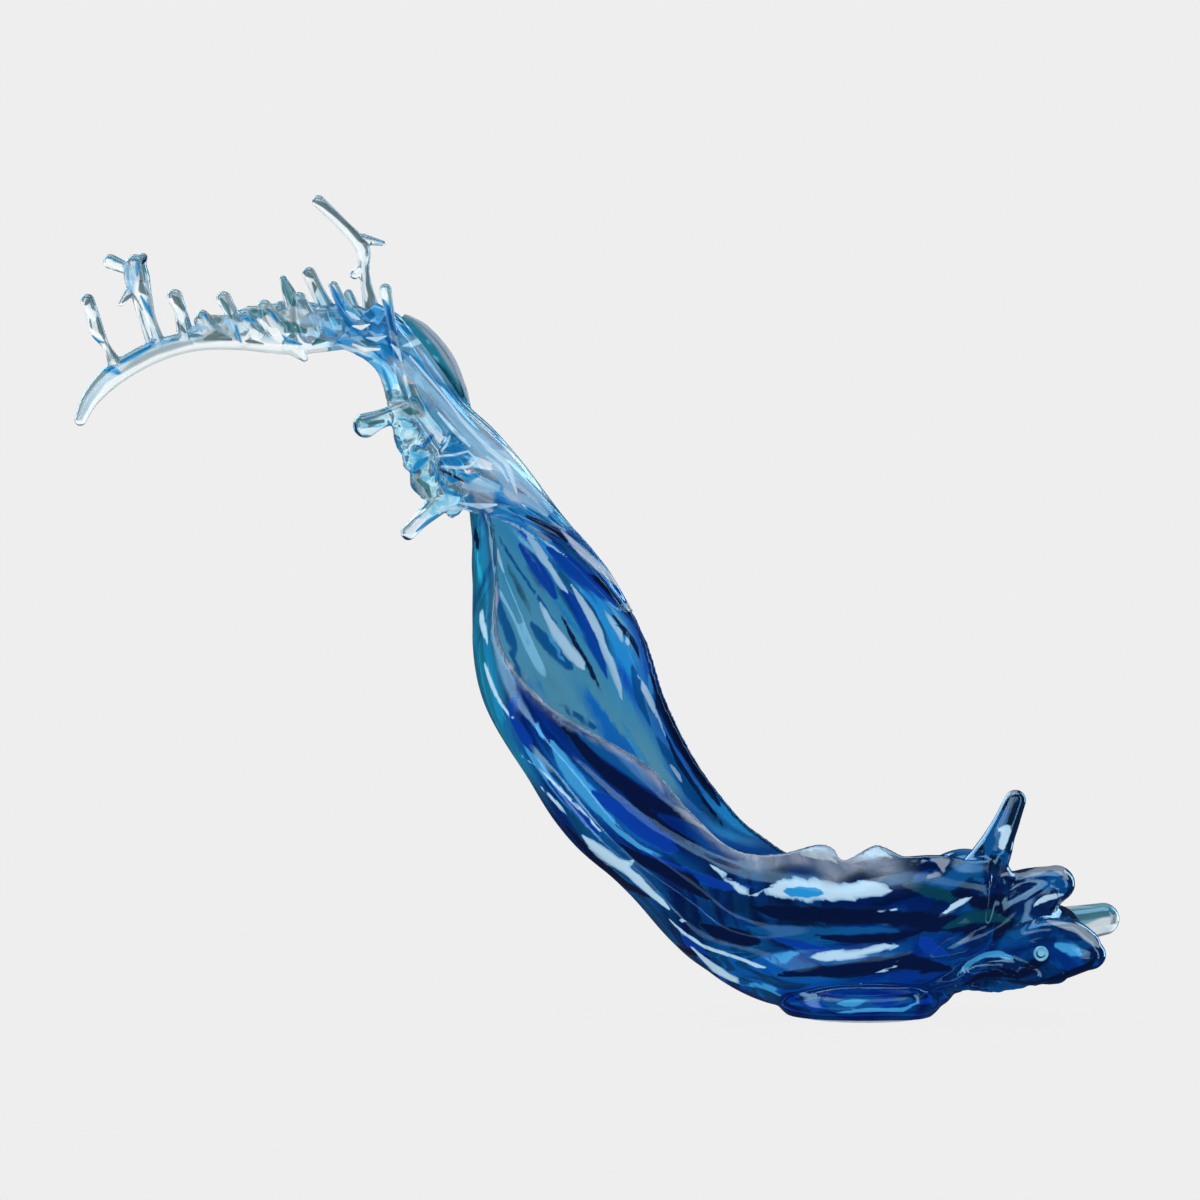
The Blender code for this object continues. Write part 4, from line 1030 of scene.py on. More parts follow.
        [(-349, 417, 1.2), (-343, 414, 3.6), (-336, 412, 1.8)],
        [(-331, 404, 0.8), (-328, 406, 2), (-324, 406, 0.8)],
        [(-386, 431, 1), (-383, 427, 1.8), (-380, 420, 0.8)],
        [(-349, 443, 0.8), (-347, 436, 2.5), (-343, 429, 2.4), (-340, 427, 0.7)],
    ],
    # painted shade, near black
    ("arm", "navyShade"): [
        [(-430, 457, 0.7), (-431, 455, 1.8), (-433, 452, 0.6)],
    ],
    ("arm", "cobalt"): [
        [(-320, 439, 0.8), (-317, 433, 2.3), (-314, 425, 1.8)],
        [(-289, 430, 0.5), (-286, 426, 1.6), (-284, 420, 1)],
    ],
    # painted highlights
    ("crest arm", "glint"): [
        [(-311, 424, 0.5), (-307, 421, 1.8), (-303, 419, 0.5)],
        [(-315, 404, 0.5), (-309, 401, 1.8), (-302, 400, 0.5)],
        [(-299, 408, 0.5), (-293, 407, 1.7), (-287, 409, 0.5)],
        [(-284, 404, 0.5), (-280, 400, 1.6), (-278, 394, 0.5)],
    ],
    ("front", "petrol"): [
        [(22, 80, 0.8), (35, 77, 3.6), (49, 73, 3.6), (58, 67, 0.8)],
        [(47, 53, 0.8), (61, 59, 3.6), (75, 61, 3.6), (87, 58, 0.8)],
    ],
}
# glint, white and ice are painted highlights, pane a painted window reflection, mist pale lilac streaks that
# are partly painted sheen, and navy, slate, moss and ash painted shade; the others are tints of the resin
tones = {"pearl": (0.48, 0.56, 0.67, 1), "ash": (0.31, 0.39, 0.42, 1), "mistAndSheen": (0.28, 0.35, 0.44, 1),
         "iceHighlight": (0.30, 0.54, 0.76, 1), "teal": (0.004, 0.10, 0.33, 1), "sky": (0.06, 0.40, 0.80, 1),
         "azure": (0.008, 0.22, 0.52, 1), "cobalt": (0.002, 0.12, 0.40, 1), "royal": (0.002, 0.050, 0.40, 1),
         "navyShade": (0.002, 0.008, 0.045, 1), "mossShade": (0.05, 0.17, 0.19, 1), "slateShade": (0.10, 0.15, 0.16, 1),
         "petrol": (0.002, 0.06, 0.10, 1), "glint": (0.54, 0.78, 0.97, 1), "whiteHighlight": (0.90, 0.96, 0.98, 1),
         "pane": (0.02, 0.32, 0.74, 1)}


# crisp tones (the painted highlights, the painted window reflection and the grey-green painted shade) have
# harder edges and are cloudier than the others
streakLook = {
    "crisp": ("glint", "whiteHighlight", "pane", "slateShade", "mossShade"), "crispEdge": 0.06, "softEdge": 0.15,
    "crispCloud": 0.88, "softCloud": 0.75, "ragged": (40.0, 160.0, 0.0), "raggedFrom": 0.3,
    "glintCore": (0.52, 0.72), "frontFacing": (-0.15, 0.30),
}


def layStreaks(mesh, points, triangles, faces):
    # 0.5 at the edge of a streak and 1 on its line, for each tone that these faces carry
    eye, _ = lookFrom()
    share = -eye.y / (points[:, 1] - eye.y)
    spot = np.stack([eye.x + (points[:, 0] - eye.x) * share, eye.z + (points[:, 2] - eye.z) * share], 1)
    spot = spot * 1000
    facing = falling(normalsOf(points, triangles)[:, 1], *streakLook["frontFacing"])
    found = {}
    for (face, tone), lines in streaks.items():
        chosen = [faces[name] for name in face.split() if name in faces]
        if not chosen:
            continue
        weight = facing * chosen[0]
        reached = found.setdefault(tone, np.zeros(len(points)))
        for line in lines:
            line = np.array(line, float)
            low = (line[:, :2] - 2 * line[:, 2:]).min(0)
            high = (line[:, :2] + 2 * line[:, 2:]).max(0)
            near = np.where((weight > 0) & (spot > low).all(1) & (spot < high).all(1))[0]
            for start, stop in zip(line, line[1:]):
                step = stop[:2] - start[:2]
                along = np.clip(((spot[near] - start[:2]) @ step) / (step @ step), 0, 1)
                wide = start[2] + (stop[2] - start[2]) * along
                gap = np.linalg.norm(spot[near] - start[:2] - along[:, None] * step, axis=1)
                reached[near] = np.maximum(reached[near], (1 - gap / (2 * wide)) * weight[near])
    addLayers(mesh, found)
    return [tone for tone in tones if tone in found]


def paintStreaks(wire, flow, sheet, used, rough, soften):
    # the streaks, painted highlights and painted shade among them, over a base colour, with ragged edges;
    # also how cloudy they are
    look = streakLook
    ragged = (flow.scaled(look["ragged"]).grain(1.0, 2.0, 0.4, 0.6) - 0.5) * rough
    cloudy = 0.0
    for tone in used:
        mask = wire.layer(tone)
        kind = "crisp" if tone in look["crisp"] else "soft"
        soft = look[kind + "Edge"] * soften
        strong = look[kind + "Cloud"]
        edged = mask + ragged * mask.between(0.0, look["raggedFrom"])
        laid = edged.between(0.5 - soft, 0.5 + soft)
        colour = tones[tone]
        # a painted highlight: pale blue at its rim, paler at its core
        if tone == "glint":
            colour = edged.between(*look["glintCore"]).blend(tones["iceHighlight"], colour)
        sheet = laid.blend(sheet, colour)
        cloudy = laid.blend(cloudy, grey(strong)) if isinstance(cloudy, Wire) else laid * strong
    return sheet, cloudy


# the body: back sheet, trough, palm, fingers and foot in one skin
hullRows = [
    (-0.243, 0.325, -0.200, 0.328, 0.016, 0.006, 30, 200, 0.0031, 0.0),
    (-0.237, 0.302, -0.182, 0.300, 0.022, 0.005, 25, 234, 0.0031, 0.0),
    (-0.235, 0.263, -0.148, 0.260, 0.028, 0.004, 20, 228, 0.0031, 0.0),
    (-0.235, 0.224, -0.128, 0.228, 0.033, 0.003, 22, 226, 0.0031, 0.0),
    (-0.226, 0.187, -0.112, 0.192, 0.037, 0.002, 30, 250, 0.0039, 0.003),
    (-0.203, 0.148, -0.093, 0.158, 0.040, 0.001, 35, 288, 0.0039, 0.005),
    (-0.174, 0.107, -0.073, 0.136, 0.042, 0.0, 42, 291, 0.0035, 0.005),
    (-0.138, 0.073, -0.050, 0.120, 0.044, 0.0, 52, 290, 0.0035, 0.007),
    (-0.102, 0.033, -0.020, 0.121, 0.047, 0.0, 66, 303, 0.0037, 0.014),
    (-0.056, 0.009, 0.007, 0.122, 0.051, 0.0, 68, 306, 0.0041, 0.046),
    (-0.009, 0.006, 0.033, 0.130, 0.054, 0.0, 70, 305, 0.0051, 0.070),
    (0.036, 0.012, 0.054, 0.118, 0.054, 0.0, 70, 309, 0.0061, 0.070),
    (0.066, 0.018, 0.075, 0.114, 0.050, 0.0, 66, 311, 0.0071, 0.080),
]
palmRows = [
    (0.054, -0.001, 0.058, 0.036, 0.045), (0.066, -0.001, 0.055, 0.038, 0.048),
    (0.080, -0.001, 0.051, 0.034, 0.047), (0.096, -0.001, 0.048, 0.031, 0.043),
    (0.111, -0.001, 0.045, 0.023, 0.032),
]
footRows = [
    (-0.047, 0.0, 0.019, 0.012, 0.024), (-0.037, 0.0, 0.014, 0.016, 0.035),
    (-0.020, 0.0, 0.012, 0.018, 0.043), (0.006, 0.0, 0.012, 0.018, 0.045),
    (0.028, 0.0, 0.014, 0.018, 0.042), (0.040, 0.0, 0.019, 0.013, 0.032),
]
fingers = {
    "tail_finger_tall": [(0.060, -0.024, 0.080, 0.016), (0.072, -0.023, 0.095, 0.0125),
                         (0.081, -0.021, 0.113, 0.0086), (0.0890, -0.019, 0.1318, 0.0064)],
    "tail_finger_middle": [(0.086, -0.010, 0.058, 0.019), (0.100, -0.012, 0.071, 0.0145),
                           (0.1135, -0.014, 0.081, 0.0115)],
    "tail_finger_low": [(0.088, -0.026, 0.043, 0.021), (0.108, -0.030, 0.041, 0.0175),
                        (0.1325, -0.028, 0.0405, 0.0100)],
}
clearFinger = [(0.084, 0.010, 0.050, 0.013), (0.106, 0.015, 0.0515, 0.0125), (0.126, 0.020, 0.0535, 0.0112),
               (0.1460, 0.024, 0.0565, 0.0098)]


# sinews and swellings of the palm, between the trough and the fingers
sinews = [
    [(0.022, -0.046, 0.055, 0.004), (0.040, -0.047, 0.062, 0.0065), (0.056, -0.044, 0.072, 0.0075),
     (0.067, -0.036, 0.084, 0.0085), (0.074, -0.027, 0.097, 0.0085)],
    [(0.036, -0.046, 0.042, 0.004), (0.056, -0.048, 0.047, 0.0065), (0.074, -0.043, 0.056, 0.0085),
     (0.090, -0.033, 0.066, 0.0115), (0.104, -0.020, 0.0735, 0.0125)],
    [(0.038, -0.034, 0.024, 0.004), (0.058, -0.041, 0.030, 0.006), (0.076, -0.045, 0.034, 0.007),
     (0.094, -0.043, 0.031, 0.007), (0.112, -0.036, 0.032, 0.008)],
    [(0.086, -0.040, 0.049, 0.006), (0.104, -0.040, 0.0545, 0.0080), (0.118, -0.035, 0.0545, 0.0085),
     (0.131, -0.030, 0.047, 0.0085)],
    [(0.045, -0.020, 0.0205, 0.004), (0.060, -0.031, 0.0235, 0.005), (0.078, -0.032, 0.0225, 0.0045),
     (0.098, -0.030, 0.0265, 0.005), (0.120, -0.027, 0.0325, 0.005)],
    [(0.046, -0.026, 0.080, 0.012), (0.062, -0.024, 0.084, 0.0145), (0.076, -0.020, 0.084, 0.012)],
    [(0.046, 0.022, 0.080, 0.014), (0.062, 0.016, 0.082, 0.017), (0.078, 0.008, 0.076, 0.014)],
    [(0.084, -0.014, 0.074, 0.0125), (0.098, -0.015, 0.0785, 0.0125), (0.110, -0.015, 0.0800, 0.0120)],
    [(0.020, 0.048, 0.052, 0.004), (0.048, 0.046, 0.058, 0.008), (0.080, 0.040, 0.054, 0.010),
     (0.112, 0.026, 0.054, 0.0110)],
]

body = {
    "first": 0.0, "last": 12.0, "steps": 420, "across": 130, "rowSpacing": 0.035,
    "lip": 0.72, "extraWall": 0.0004, "seed": 11,
    "waves": [(0.16, 0.032, 0.0008), (0.09, 0.014, 0.00010)],
    "swell": [(0.18, 0.044, 0.0017)],
    "bedWave": 0.0012, "bedSoftness": 0.15,
    "voxel": 0.00122, "creaseTurns": 110, "fillet": 0.009, "smoothTurns": 11,
    "palmHeave": 0.0016, "palmNoise": (0.030, 0.022, 0.015), "palmShift": 4.1,
    "palmFrom": (0.0, 0.05), "palmTop": (0.10, 0.115), "pinchAlong": (0.040, 0.056, 0.096, 0.116),
    "pinchTop": (0.030, 0.044), "pinchFloor": 0.012,
    "crumpleHeight": 0.0012, "crumpleSize": 0.010, "crumpleSeed": 6, "pinchLeast": 0.02,
    "limb": {"steps": 40, "sides": 72, "dome": 12}, "lipSmoothing": 19, "dropSides": 40,
    "sheetBehind": (-0.004, 0.001), "frontAhead": (0.0, 0.003),
    "lipRows": (7.3, 7.7, 8.1, 8.45, 8.74, 8.95, 9.2, 9.5, 9.9, 10.4, 10.9, 11.4, 12.0),
    "lipRise": (0.0, 2.0, 11.0, 8.0, -4.0, 4.5, 11.0, 5.0, -4.0, -1.5, 2.0, 1.0, 0.0),
    "floorLevel": 0.0018, "mostTriangles": 196000, "keptShare": 0.000005, "keptFacing": (-0.1, 0.4),
    "keptLevels": 4,
    "folds": [
        ("in", [(0.7, 131), (1.76, 109), (2.42, 97), (3.0, 93), (3.44, 84), (4.6, 80)], 0.0088, 0.0031),
        ("in", [(1.2, 142), (1.9, 124), (2.6, 112), (3.2, 106), (4.0, 98)], 0.0050, -0.0015),
        ("in", [(0.7, 122), (1.62, 84), (2.14, 73), (3.1, 66)], 0.0077, 0.0031),
        ("in", [(0.6, 92), (1.30, 68), (1.48, 56), (2.02, 43), (2.9, 27)], 0.0080, 0.0036),
        ("in", [(1.6, 84), (2.0, 76), (2.76, 65), (3.36, 60), (3.98, 63), (4.8, 70)], 0.0050, 0.0025),
        ("in", [(2.2, 32), (3.02, 40), (4.0, 50), (4.82, 51), (6.12, 65), (7.4, 73)], 0.0070, 0.0033),
        ("in", [(2.6, 22), (3.4, 26), (4.4, 36), (5.4, 42), (6.4, 56)], 0.0045, 0.0024),
        ("in", [(2.2, 126), (3.0, 122), (4.0, 112), (5.4, 102)], 0.0125, 0.0010),
        ("in", [(0.4, 165), (1.4, 160), (2.6, 156), (3.6, 150), (4.6, 138)], 0.0060, 0.0025),
        ("in", [(4.0, 90), (5.0, 88), (6.2, 92), (7.6, 96)], 0.0088, 0.0025),
        ("in", [(3.6, 226), (4.2, 212), (5.0, 204), (6.0, 210)], 0.0056, 0.0019),
        ("out", [(4.0, 238), (4.36, 244), (5.12, 256), (5.8, 265), (6.4, 274), (7.12, 280), (7.9, 284)],
         0.0052, -0.0016),
        ("out", [(3.6, 250), (4.6, 264), (5.2, 273), (6.0, 281), (7.2, 287)], 0.0063, 0.0012),
        ("out", [(3.2, 222), (4.04, 234), (5.24, 245), (6.4, 246), (7.32, 248), (8.3, 252), (9.6, 254)],
         0.0100, 0.0023),
        ("out", [(4.4, 226), (5.3, 228), (6.2, 233), (7.1, 236), (7.9, 240)], 0.0057, -0.0016),
        ("out", [(3.2, 209), (4.08, 210), (4.8, 203), (5.82, 208), (6.62, 222), (7.18, 218), (8.5, 228)],
         0.0088, 0.0022),
        ("out", [(2.2, 196), (3.4, 190), (4.6, 184), (5.8, 188), (6.8, 200), (7.6, 206)], 0.0070, 0.0016),
        ("out", [(6.4, 230), (7.88, 240), (9.24, 262), (10.3, 268), (11.9, 272)], 0.0075, -0.0022),
        ("out", [(7.2, 203), (8.12, 219), (8.72, 227), (9.52, 233), (10.46, 241), (11.4, 246)],
         0.0088, 0.0020),
        ("out", [(7.2, 272), (8.08, 280), (9.02, 284), (10.08, 283), (11.3, 286)], 0.0112, 0.0017),
        ("out", [(9.2, 210), (10.16, 217), (10.64, 228), (11.6, 234)], 0.0063, 0.0014),
        ("out", [(5.0, 184), (6.2, 190), (7.2, 188), (8.2, 196)], 0.0063, 0.0015),
        ("out", [(0.4, 152), (3.0, 150), (6.0, 160), (9.0, 166), (11.8, 160)], 0.0100, 0.0017),
        ("out", [(0.4, 112), (3.0, 104), (6.0, 112), (9.0, 122), (11.8, 118)], 0.0100, 0.0018),
        ("out", [(1.0, 62), (4.0, 72), (7.0, 86), (10.0, 96), (11.8, 96)], 0.0075, 0.0016),
        ("out", [(5.0, 134), (8.0, 142), (11.8, 140)], 0.0055, -0.0010),
    ],
    "resin": {"ior": 1.5, "roughness": 0.012, "haze": 0.03, "hazeScale": 30.0, "shine": 0.26, "bump": 0.10,
              "depthColour": (0.02, 0.78, 0.91), "depth": 85.0},
}


def troughLip(places):
    # how many degrees the front lip rises or dips at each row
    rise = np.interp(places, body["lipRows"], body["lipRise"])
    window = np.hanning(body["lipSmoothing"])
    pad = body["lipSmoothing"] // 2
    return np.convolve(np.pad(rise, pad, mode="edge"), window / window.sum(), "same")[pad:-pad]


def heavedPalm(points, triangles):
    # soft swellings of the palm, and its pinched underside
    swollen = np.where(points[:, 0] > 0.0)[0]
    normals = normalsOf(points, triangles)
    wideX, wideY, wideZ = body["palmNoise"]
    heave = np.array([noise.noise(Vector((p[0] / wideX, p[1] / wideY + body["palmShift"], p[2] / wideZ)))
                      for p in points[swollen]])
    heave = (body["palmHeave"] * heave * smoothStep(points[swollen, 0], *body["palmFrom"])
             * falling(points[swollen, 2], *body["palmTop"]))
    points[swollen] += normals[swollen] * heave[:, None]
    x, _, z = points.T
    under = within(x, *body["pinchAlong"]) * falling(z, *body["pinchTop"])
    pinched = np.where(under * (z > body["pinchFloor"]) > body["pinchLeast"])[0]
    moved, _ = crumpled(points, triangles, body["crumpleHeight"], body["crumpleSize"], body["crumpleSeed"],
                        pinched)
    points[pinched] += (moved[pinched] - points[pinched]) * under[pinched, None]
    points[:, 2] = np.maximum(points[:, 2], body["floorLevel"])
    return points


# where each tint lies: rows, degrees and shares of the sheet, or metres along x and z
bodyZones = {
    "lipShare": (0.905, 0.945), "lipRows": (6.6, 7.8), "lipEnd": (0.010, 0.032), "lipFrom": 200,
    "rimShare": (0.965, 0.99), "rimRows": (1.6, 2.6), "rimEnd": 7.6, "headRows": (0.25, 1.0), "head": 0.85,
    "upperRows": (3.6, 7.0), "upperTurn": (195, 240), "upperLift": 2.2, "backTurn": (0, 45), "backFrom": 205,
    "backShare": 0.45, "deepRows": (5.5, 9.0), "lipMilk": 0.60, "rimMilk": 0.38, "headMilk": 0.36,
    "palmMilk": 0.50, "palmMore": 0.35, "palmHigh": (0.080, 0.100), "palmAlong": (0.030, 0.060),
    "borderRows": (0.3, 1.6, 2.1, 3.0, 4.5, 6.0), "borderTurn": (134, 96, 82, 70, 56, 46),
    "borderSoft": (-7, 9), "foldedRows": (3.6, 6.4), "curlTurn": (150, 172, 205, 232), "curlRows": (4.6, 6.5),
    "keelAlong": (0.02, 0.06), "keelHigh": (0.040, 0.060), "keel": 0.85, "footTop": 0.026,
    "footSoft": (0, 0.008), "footAlong": (-0.060, -0.044, 0.034, 0.048), "edgeShare": (0.03, 0.10),
    "edgeRows": (5.0, 7.0), "farthest": 0.02,
}


def bodyLayers(points, said, away):
    # what lies where: metres along and across for the streaks, and how clear or tinted each place is
    zone = bodyZones
    x, _, z = points.T
    along, across, row, degree, share = said.T
    lip = (smoothStep(share, *zone["lipShare"]) * smoothStep(row, *zone["lipRows"])
           * falling(x, *zone["lipEnd"]) * (degree > zone["lipFrom"]))
    rim = smoothStep(share, *zone["rimShare"]) * smoothStep(row, *zone["rimRows"]) * (row < zone["rimEnd"])
    head = falling(row, *zone["headRows"]) * zone["head"]
    upper = falling(row + smoothStep(degree, *zone["upperTurn"]) * zone["upperLift"], *zone["upperRows"])
    backSide = smoothStep(zone["backFrom"] - degree, *zone["backTurn"])
    palm = zone["palmMilk"] + zone["palmMore"] * smoothStep(z, *zone["palmHigh"])
    milk = (zone["lipMilk"] * lip + zone["rimMilk"] * rim + zone["headMilk"] * head
            + palm * smoothStep(x, *zone["palmAlong"]))
    border = np.interp(row, zone["borderRows"], zone["borderTurn"])
    return {
        "flow": np.stack([along, across, np.minimum(away, zone["farthest"])], 1),
        "pale": np.clip(lip + rim + head, 0, 1),
        "upper": np.clip(upper + zone["backShare"] * backSide * (1 - upper), 0, 1),
        "deep": smoothStep(row, *zone["deepRows"]),
        "milk": np.clip(milk, 0, 1),
        "folded": smoothStep(border - degree, *zone["borderSoft"]) * falling(row, *zone["foldedRows"]),
        "curl": within(degree, *zone["curlTurn"]) * falling(row, *zone["curlRows"]),
        "keel": falling(x, *zone["keelAlong"]) * falling(z, *zone["keelHigh"]) * zone["keel"],
        "foot": smoothStep(zone["footTop"] - z, *zone["footSoft"]) * within(x, *zone["footAlong"]),
        "edge": falling(share, *zone["edgeShare"]) * falling(row, *zone["edgeRows"]),
    }


def paintBody(wire, here, flow, used):
    # teal above, blue below, darkest in the tail; streaks along the flow in each
    mask = {name: wire.layer(name) for name in (
        "pale", "upper", "deep", "foot", "edge", "curl", "folded", "keel")}
    streak = flow.scaled((7.0, 46.0, 0.0)).grain(1.0, 3.0, 0.8)
    broad = flow.scaled((5.0, 17.0, 0.0)).grain(1.0, 2.0, 0.5)
    fine = flow.scaled((13.0, 120.0, 0.0)).grain(1.0, 2.0, 0.6)
    cloud = here.grain(24.0, 2.0)
    swirl = here.grain(30.0, 2.0, 1.4)
    lean = streak * 0.72 + fine * 0.28
    teal = broad.between(0.38, 0.62).blend((0.13, 0.33, 0.47, 1), (0.03, 0.28, 0.52, 1))
    teal = mask["curl"].blend(teal, (0.05, 0.66, 0.92, 1))
    teal = lean.between(0.53, 0.62).blend(teal, (0.010, 0.16, 0.54, 1))
    folded = lean.between(0.44, 0.52).blend((0.03, 0.32, 0.74, 1), (0.006, 0.09, 0.52, 1))
    folded = fine.between(0.54, 0.66).blend(folded, (0.20, 0.50, 0.72, 1))
    teal = mask["folded"].blend(teal, folded)
    blue = broad.between(0.44, 0.56).blend((0.002, 0.07, 0.40, 1), (0.015, 0.34, 0.80, 1))
    blue = lean.between(0.485, 0.60).blend(blue, (0.006, 0.055, 0.36, 1))
    tail = swirl.between(0.47, 0.60).blend((0.001, 0.04, 0.22, 1), (0.003, 0.13, 0.46, 1))
    tail = lean.between(0.47, 0.58).blend(tail, (0.003, 0.030, 0.10, 1))
    tail = mask["keel"].blend(tail, blue)
    foot = lean.between(0.42, 0.6).blend((0.002, 0.04, 0.36, 1), (0.006, 0.16, 0.56, 1))
    low = mask["foot"].blend(mask["deep"].blend(blue, tail), foot)
    sheet = (mask["upper"] + (cloud - 0.5) * 0.5).between(0.25, 0.75).blend(low, teal)
    sheet = mask["edge"].blend(sheet, (0.02, 0.12, 0.50, 1))
    glass = streak.between(0.40, 0.62).blend((0.52, 0.60, 0.70, 1), (0.80, 0.82, 0.88, 1))
    # the listed streaks on top: resin tints, painted highlights and painted shade
    sheet, laid = paintStreaks(wire, flow, sheet, used, 0.5, 1.0)
    tint = mask["pale"].blend(sheet, (0.38, 0.42, 0.52, 1))
    return mask["pale"].blend(sheet, glass), tint, cloudUnder(wire, flow, laid, 0.80, 0.15)


def makeBody():
    rings, notes = curledSheet(hullRows, body, troughLip)
    shells = [closedSheet(rings)]
    shells += [closedTube(limbRings(rows, body["limb"])) for rows in (palmRows, footRows)]
    shells += [drawnDrop(points, body["dropSides"]) for points in [*fingers.values(), *sinews]]
    mesh, points, triangles = fuse("waveBody", shells, body)
    points = heavedPalm(points, triangles)
    said, away = nearestNotes(points, everyOther(rings), everyOther(notes))
    addLayers(mesh, bodyLayers(points, said, away))
    used = layStreaks(mesh, points, triangles, {
        "any": np.ones(len(points)), "sheet": smoothStep(points[:, 1], *body["sheetBehind"]),
        "front": smoothStep(-points[:, 1], *body["frontAhead"])})
    finishMesh(mesh, points, triangles)
    mesh = thinned("waveBody", mesh, points, triangles, body)
    material = resin("deepBlueResin", body["resin"], lambda *wires: paintBody(*wires, used))
    keep("waveBody", mesh, material, [
        "back_sheet", "trough_shell", "tail_palm", "foot_block", *fingers,
        "seam_pin_1", "seam_pin_2", "seam_pin_3", "palm_pin_1", "palm_pin_2", "tail_finger_pin"])


makeBody()


# the crest: ribbon, fin, knot, frill and the two cuff knobs
ribbonRows = [
    (-0.172, 0.243, -0.139, 0.244, 0.014, -0.002, 10, -30, 0.0018, 0.0),
    (-0.185, 0.279, -0.156, 0.271, 0.014, -0.002, 25, -75, 0.0028, 0.0),
    (-0.210, 0.294, -0.180, 0.300, 0.014, -0.001, 30, -130, 0.0038, 0.0),
    (-0.238, 0.301, -0.205, 0.333, 0.015, 0.0, 30, -150, 0.0038, 0.0),
    (-0.262, 0.313, -0.223, 0.354, 0.018, 0.002, 32, -150, 0.0038, 0.0),
    (-0.275, 0.338, -0.240, 0.370, 0.018, 0.003, 35, -150, 0.0038, 0.0),
    (-0.287, 0.361, -0.255, 0.390, 0.016, 0.003, 40, -150, 0.0038, 0.0),
    (-0.293, 0.385, -0.267, 0.406, 0.014, 0.002, 45, -155, 0.0038, 0.0),
    (-0.306, 0.397, -0.279, 0.421, 0.014, 0.0, 45, -160, 0.0038, 0.0),
    (-0.321, 0.401, -0.293, 0.429, 0.013, -0.001, 30, -150, 0.0028, 0.0),
]
finRows = [
    (-0.286, 0.411, -0.276, 0.423, 0.006, 0.006, 15, 130, 0.0018, 0.0),
    (-0.286, 0.398, -0.262, 0.415, 0.012, 0.005, -5, 160, 0.0038, 0.0),
    (-0.278, 0.384, -0.248, 0.399, 0.017, 0.004, -10, 170, 0.0038, 0.0),
    (-0.268, 0.366, -0.239, 0.378, 0.019, 0.004, -10, 170, 0.0038, 0.0),
    (-0.257, 0.350, -0.233, 0.358, 0.019, 0.004, 5, 170, 0.0038, 0.0),
    (-0.248, 0.334, -0.214, 0.340, 0.017, 0.005, 25, 175, 0.0028, 0.0),
]
knotRows = [
    (-0.276, 0.004, 0.392, 0.007, 0.007), (-0.287, 0.004, 0.405, 0.009, 0.009),
    (-0.302, 0.002, 0.415, 0.011, 0.010), (-0.318, 0.0, 0.417, 0.011, 0.009),
    (-0.331, -0.001, 0.414, 0.009, 0.007),
]
frillRows = [
    (-0.282, -0.004, 0.372, 0.005, 0.006), (-0.275, -0.008, 0.355, 0.008, 0.007),
    (-0.268, -0.010, 0.340, 0.009, 0.0075), (-0.262, -0.011, 0.326, 0.0105, 0.0075),
    (-0.254, -0.009, 0.314, 0.009, 0.007), (-0.246, -0.006, 0.307, 0.007, 0.006),
]
cuffKnobs = {
    "cuff_knob_upper": [(-0.274, -0.008, 0.364, 0.0075), (-0.288, -0.010, 0.3600, 0.0056),
                        (-0.299, -0.011, 0.3555, 0.0075)],
    "cuff_knob_lower": [(-0.249, -0.008, 0.315, 0.0085), (-0.265, -0.011, 0.300, 0.0050),
                        (-0.2735, -0.012, 0.2915, 0.0046)],
}

crest = {
    "ribbon": {"first": 0.0, "last": 9.0, "steps": 240, "across": 90, "rowSpacing": 0.022,
               "lip": 0.7, "extraWall": 0.0, "seed": 31,
               "waves": [(0.09, 0.014, 0.0007), (0.05, 0.007, 0.00015)], "swell": [(0.08, 0.03, 0.0011)],
               "bedWave": 0.0, "bedSoftness": 0.1,
               "folds": [
                   ("out", [(0.2, -10), (1.4, -30), (2.5, -48), (4.5, -66), (6.5, -74)],
                    0.0026, 0.0030),
                   ("out", [(0.4, -26), (1.6, -62), (3.5, -92), (5.5, -100), (7.5, -90)],
                    0.0030, 0.0028),
                   ("out", [(1.2, -90), (2.6, -118), (4.4, -124), (6.2, -118)], 0.0028, 0.0024),
                   ("out", [(3.0, -10), (5.0, -28), (8.5, -36)], 0.0022, -0.0016),
                   ("out", [(3.4, -44), (5.2, -52), (7.0, -56), (8.6, -60)], 0.0018, 0.0018),
                   ("out", [(0.1, -18), (1.0, -38), (2.0, -78), (2.8, -104)], 0.0020, -0.0020)]},
    "fin": {"first": 0.0, "last": 5.0, "steps": 120, "across": 70, "rowSpacing": 0.018,
            "lip": 0.7, "extraWall": 0.0, "seed": 41,
            "waves": [(0.05, 0.012, 0.0004)], "swell": [(0.07, 0.03, 0.0005)],
            "bedWave": 0.0, "bedSoftness": 0.1, "folds": []},
    "voxel": 0.0008, "creaseTurns": 40, "fillet": 0.004, "smoothTurns": 5,
    "limb": {"steps": 60, "sides": 60, "dome": 10}, "dropSides": 36,
    "frillCrumple": (0.0034, 0.017, 3), "knotCrumple": (0.0013, 0.011, 8),
    "fanX": -0.257, "fanZ": 0.338, "fanReach": (0.002, 0.007, 0.012, 0.024), "fanFront": -0.002,
    "fanHeight": 0.0015, "fanRays": 9, "fanTwist": 25, "fanSize": 0.02, "fanTurn": 0.35,
    "fanOpen": (-0.1, 0.5),
    "resin": {"ior": 1.46, "roughness": 0.012, "haze": 0.03, "hazeScale": 60.0, "shine": 0.45,
              "bump": 0.12, "depthColour": (0.62, 0.84, 0.93), "depth": 30.0},
}


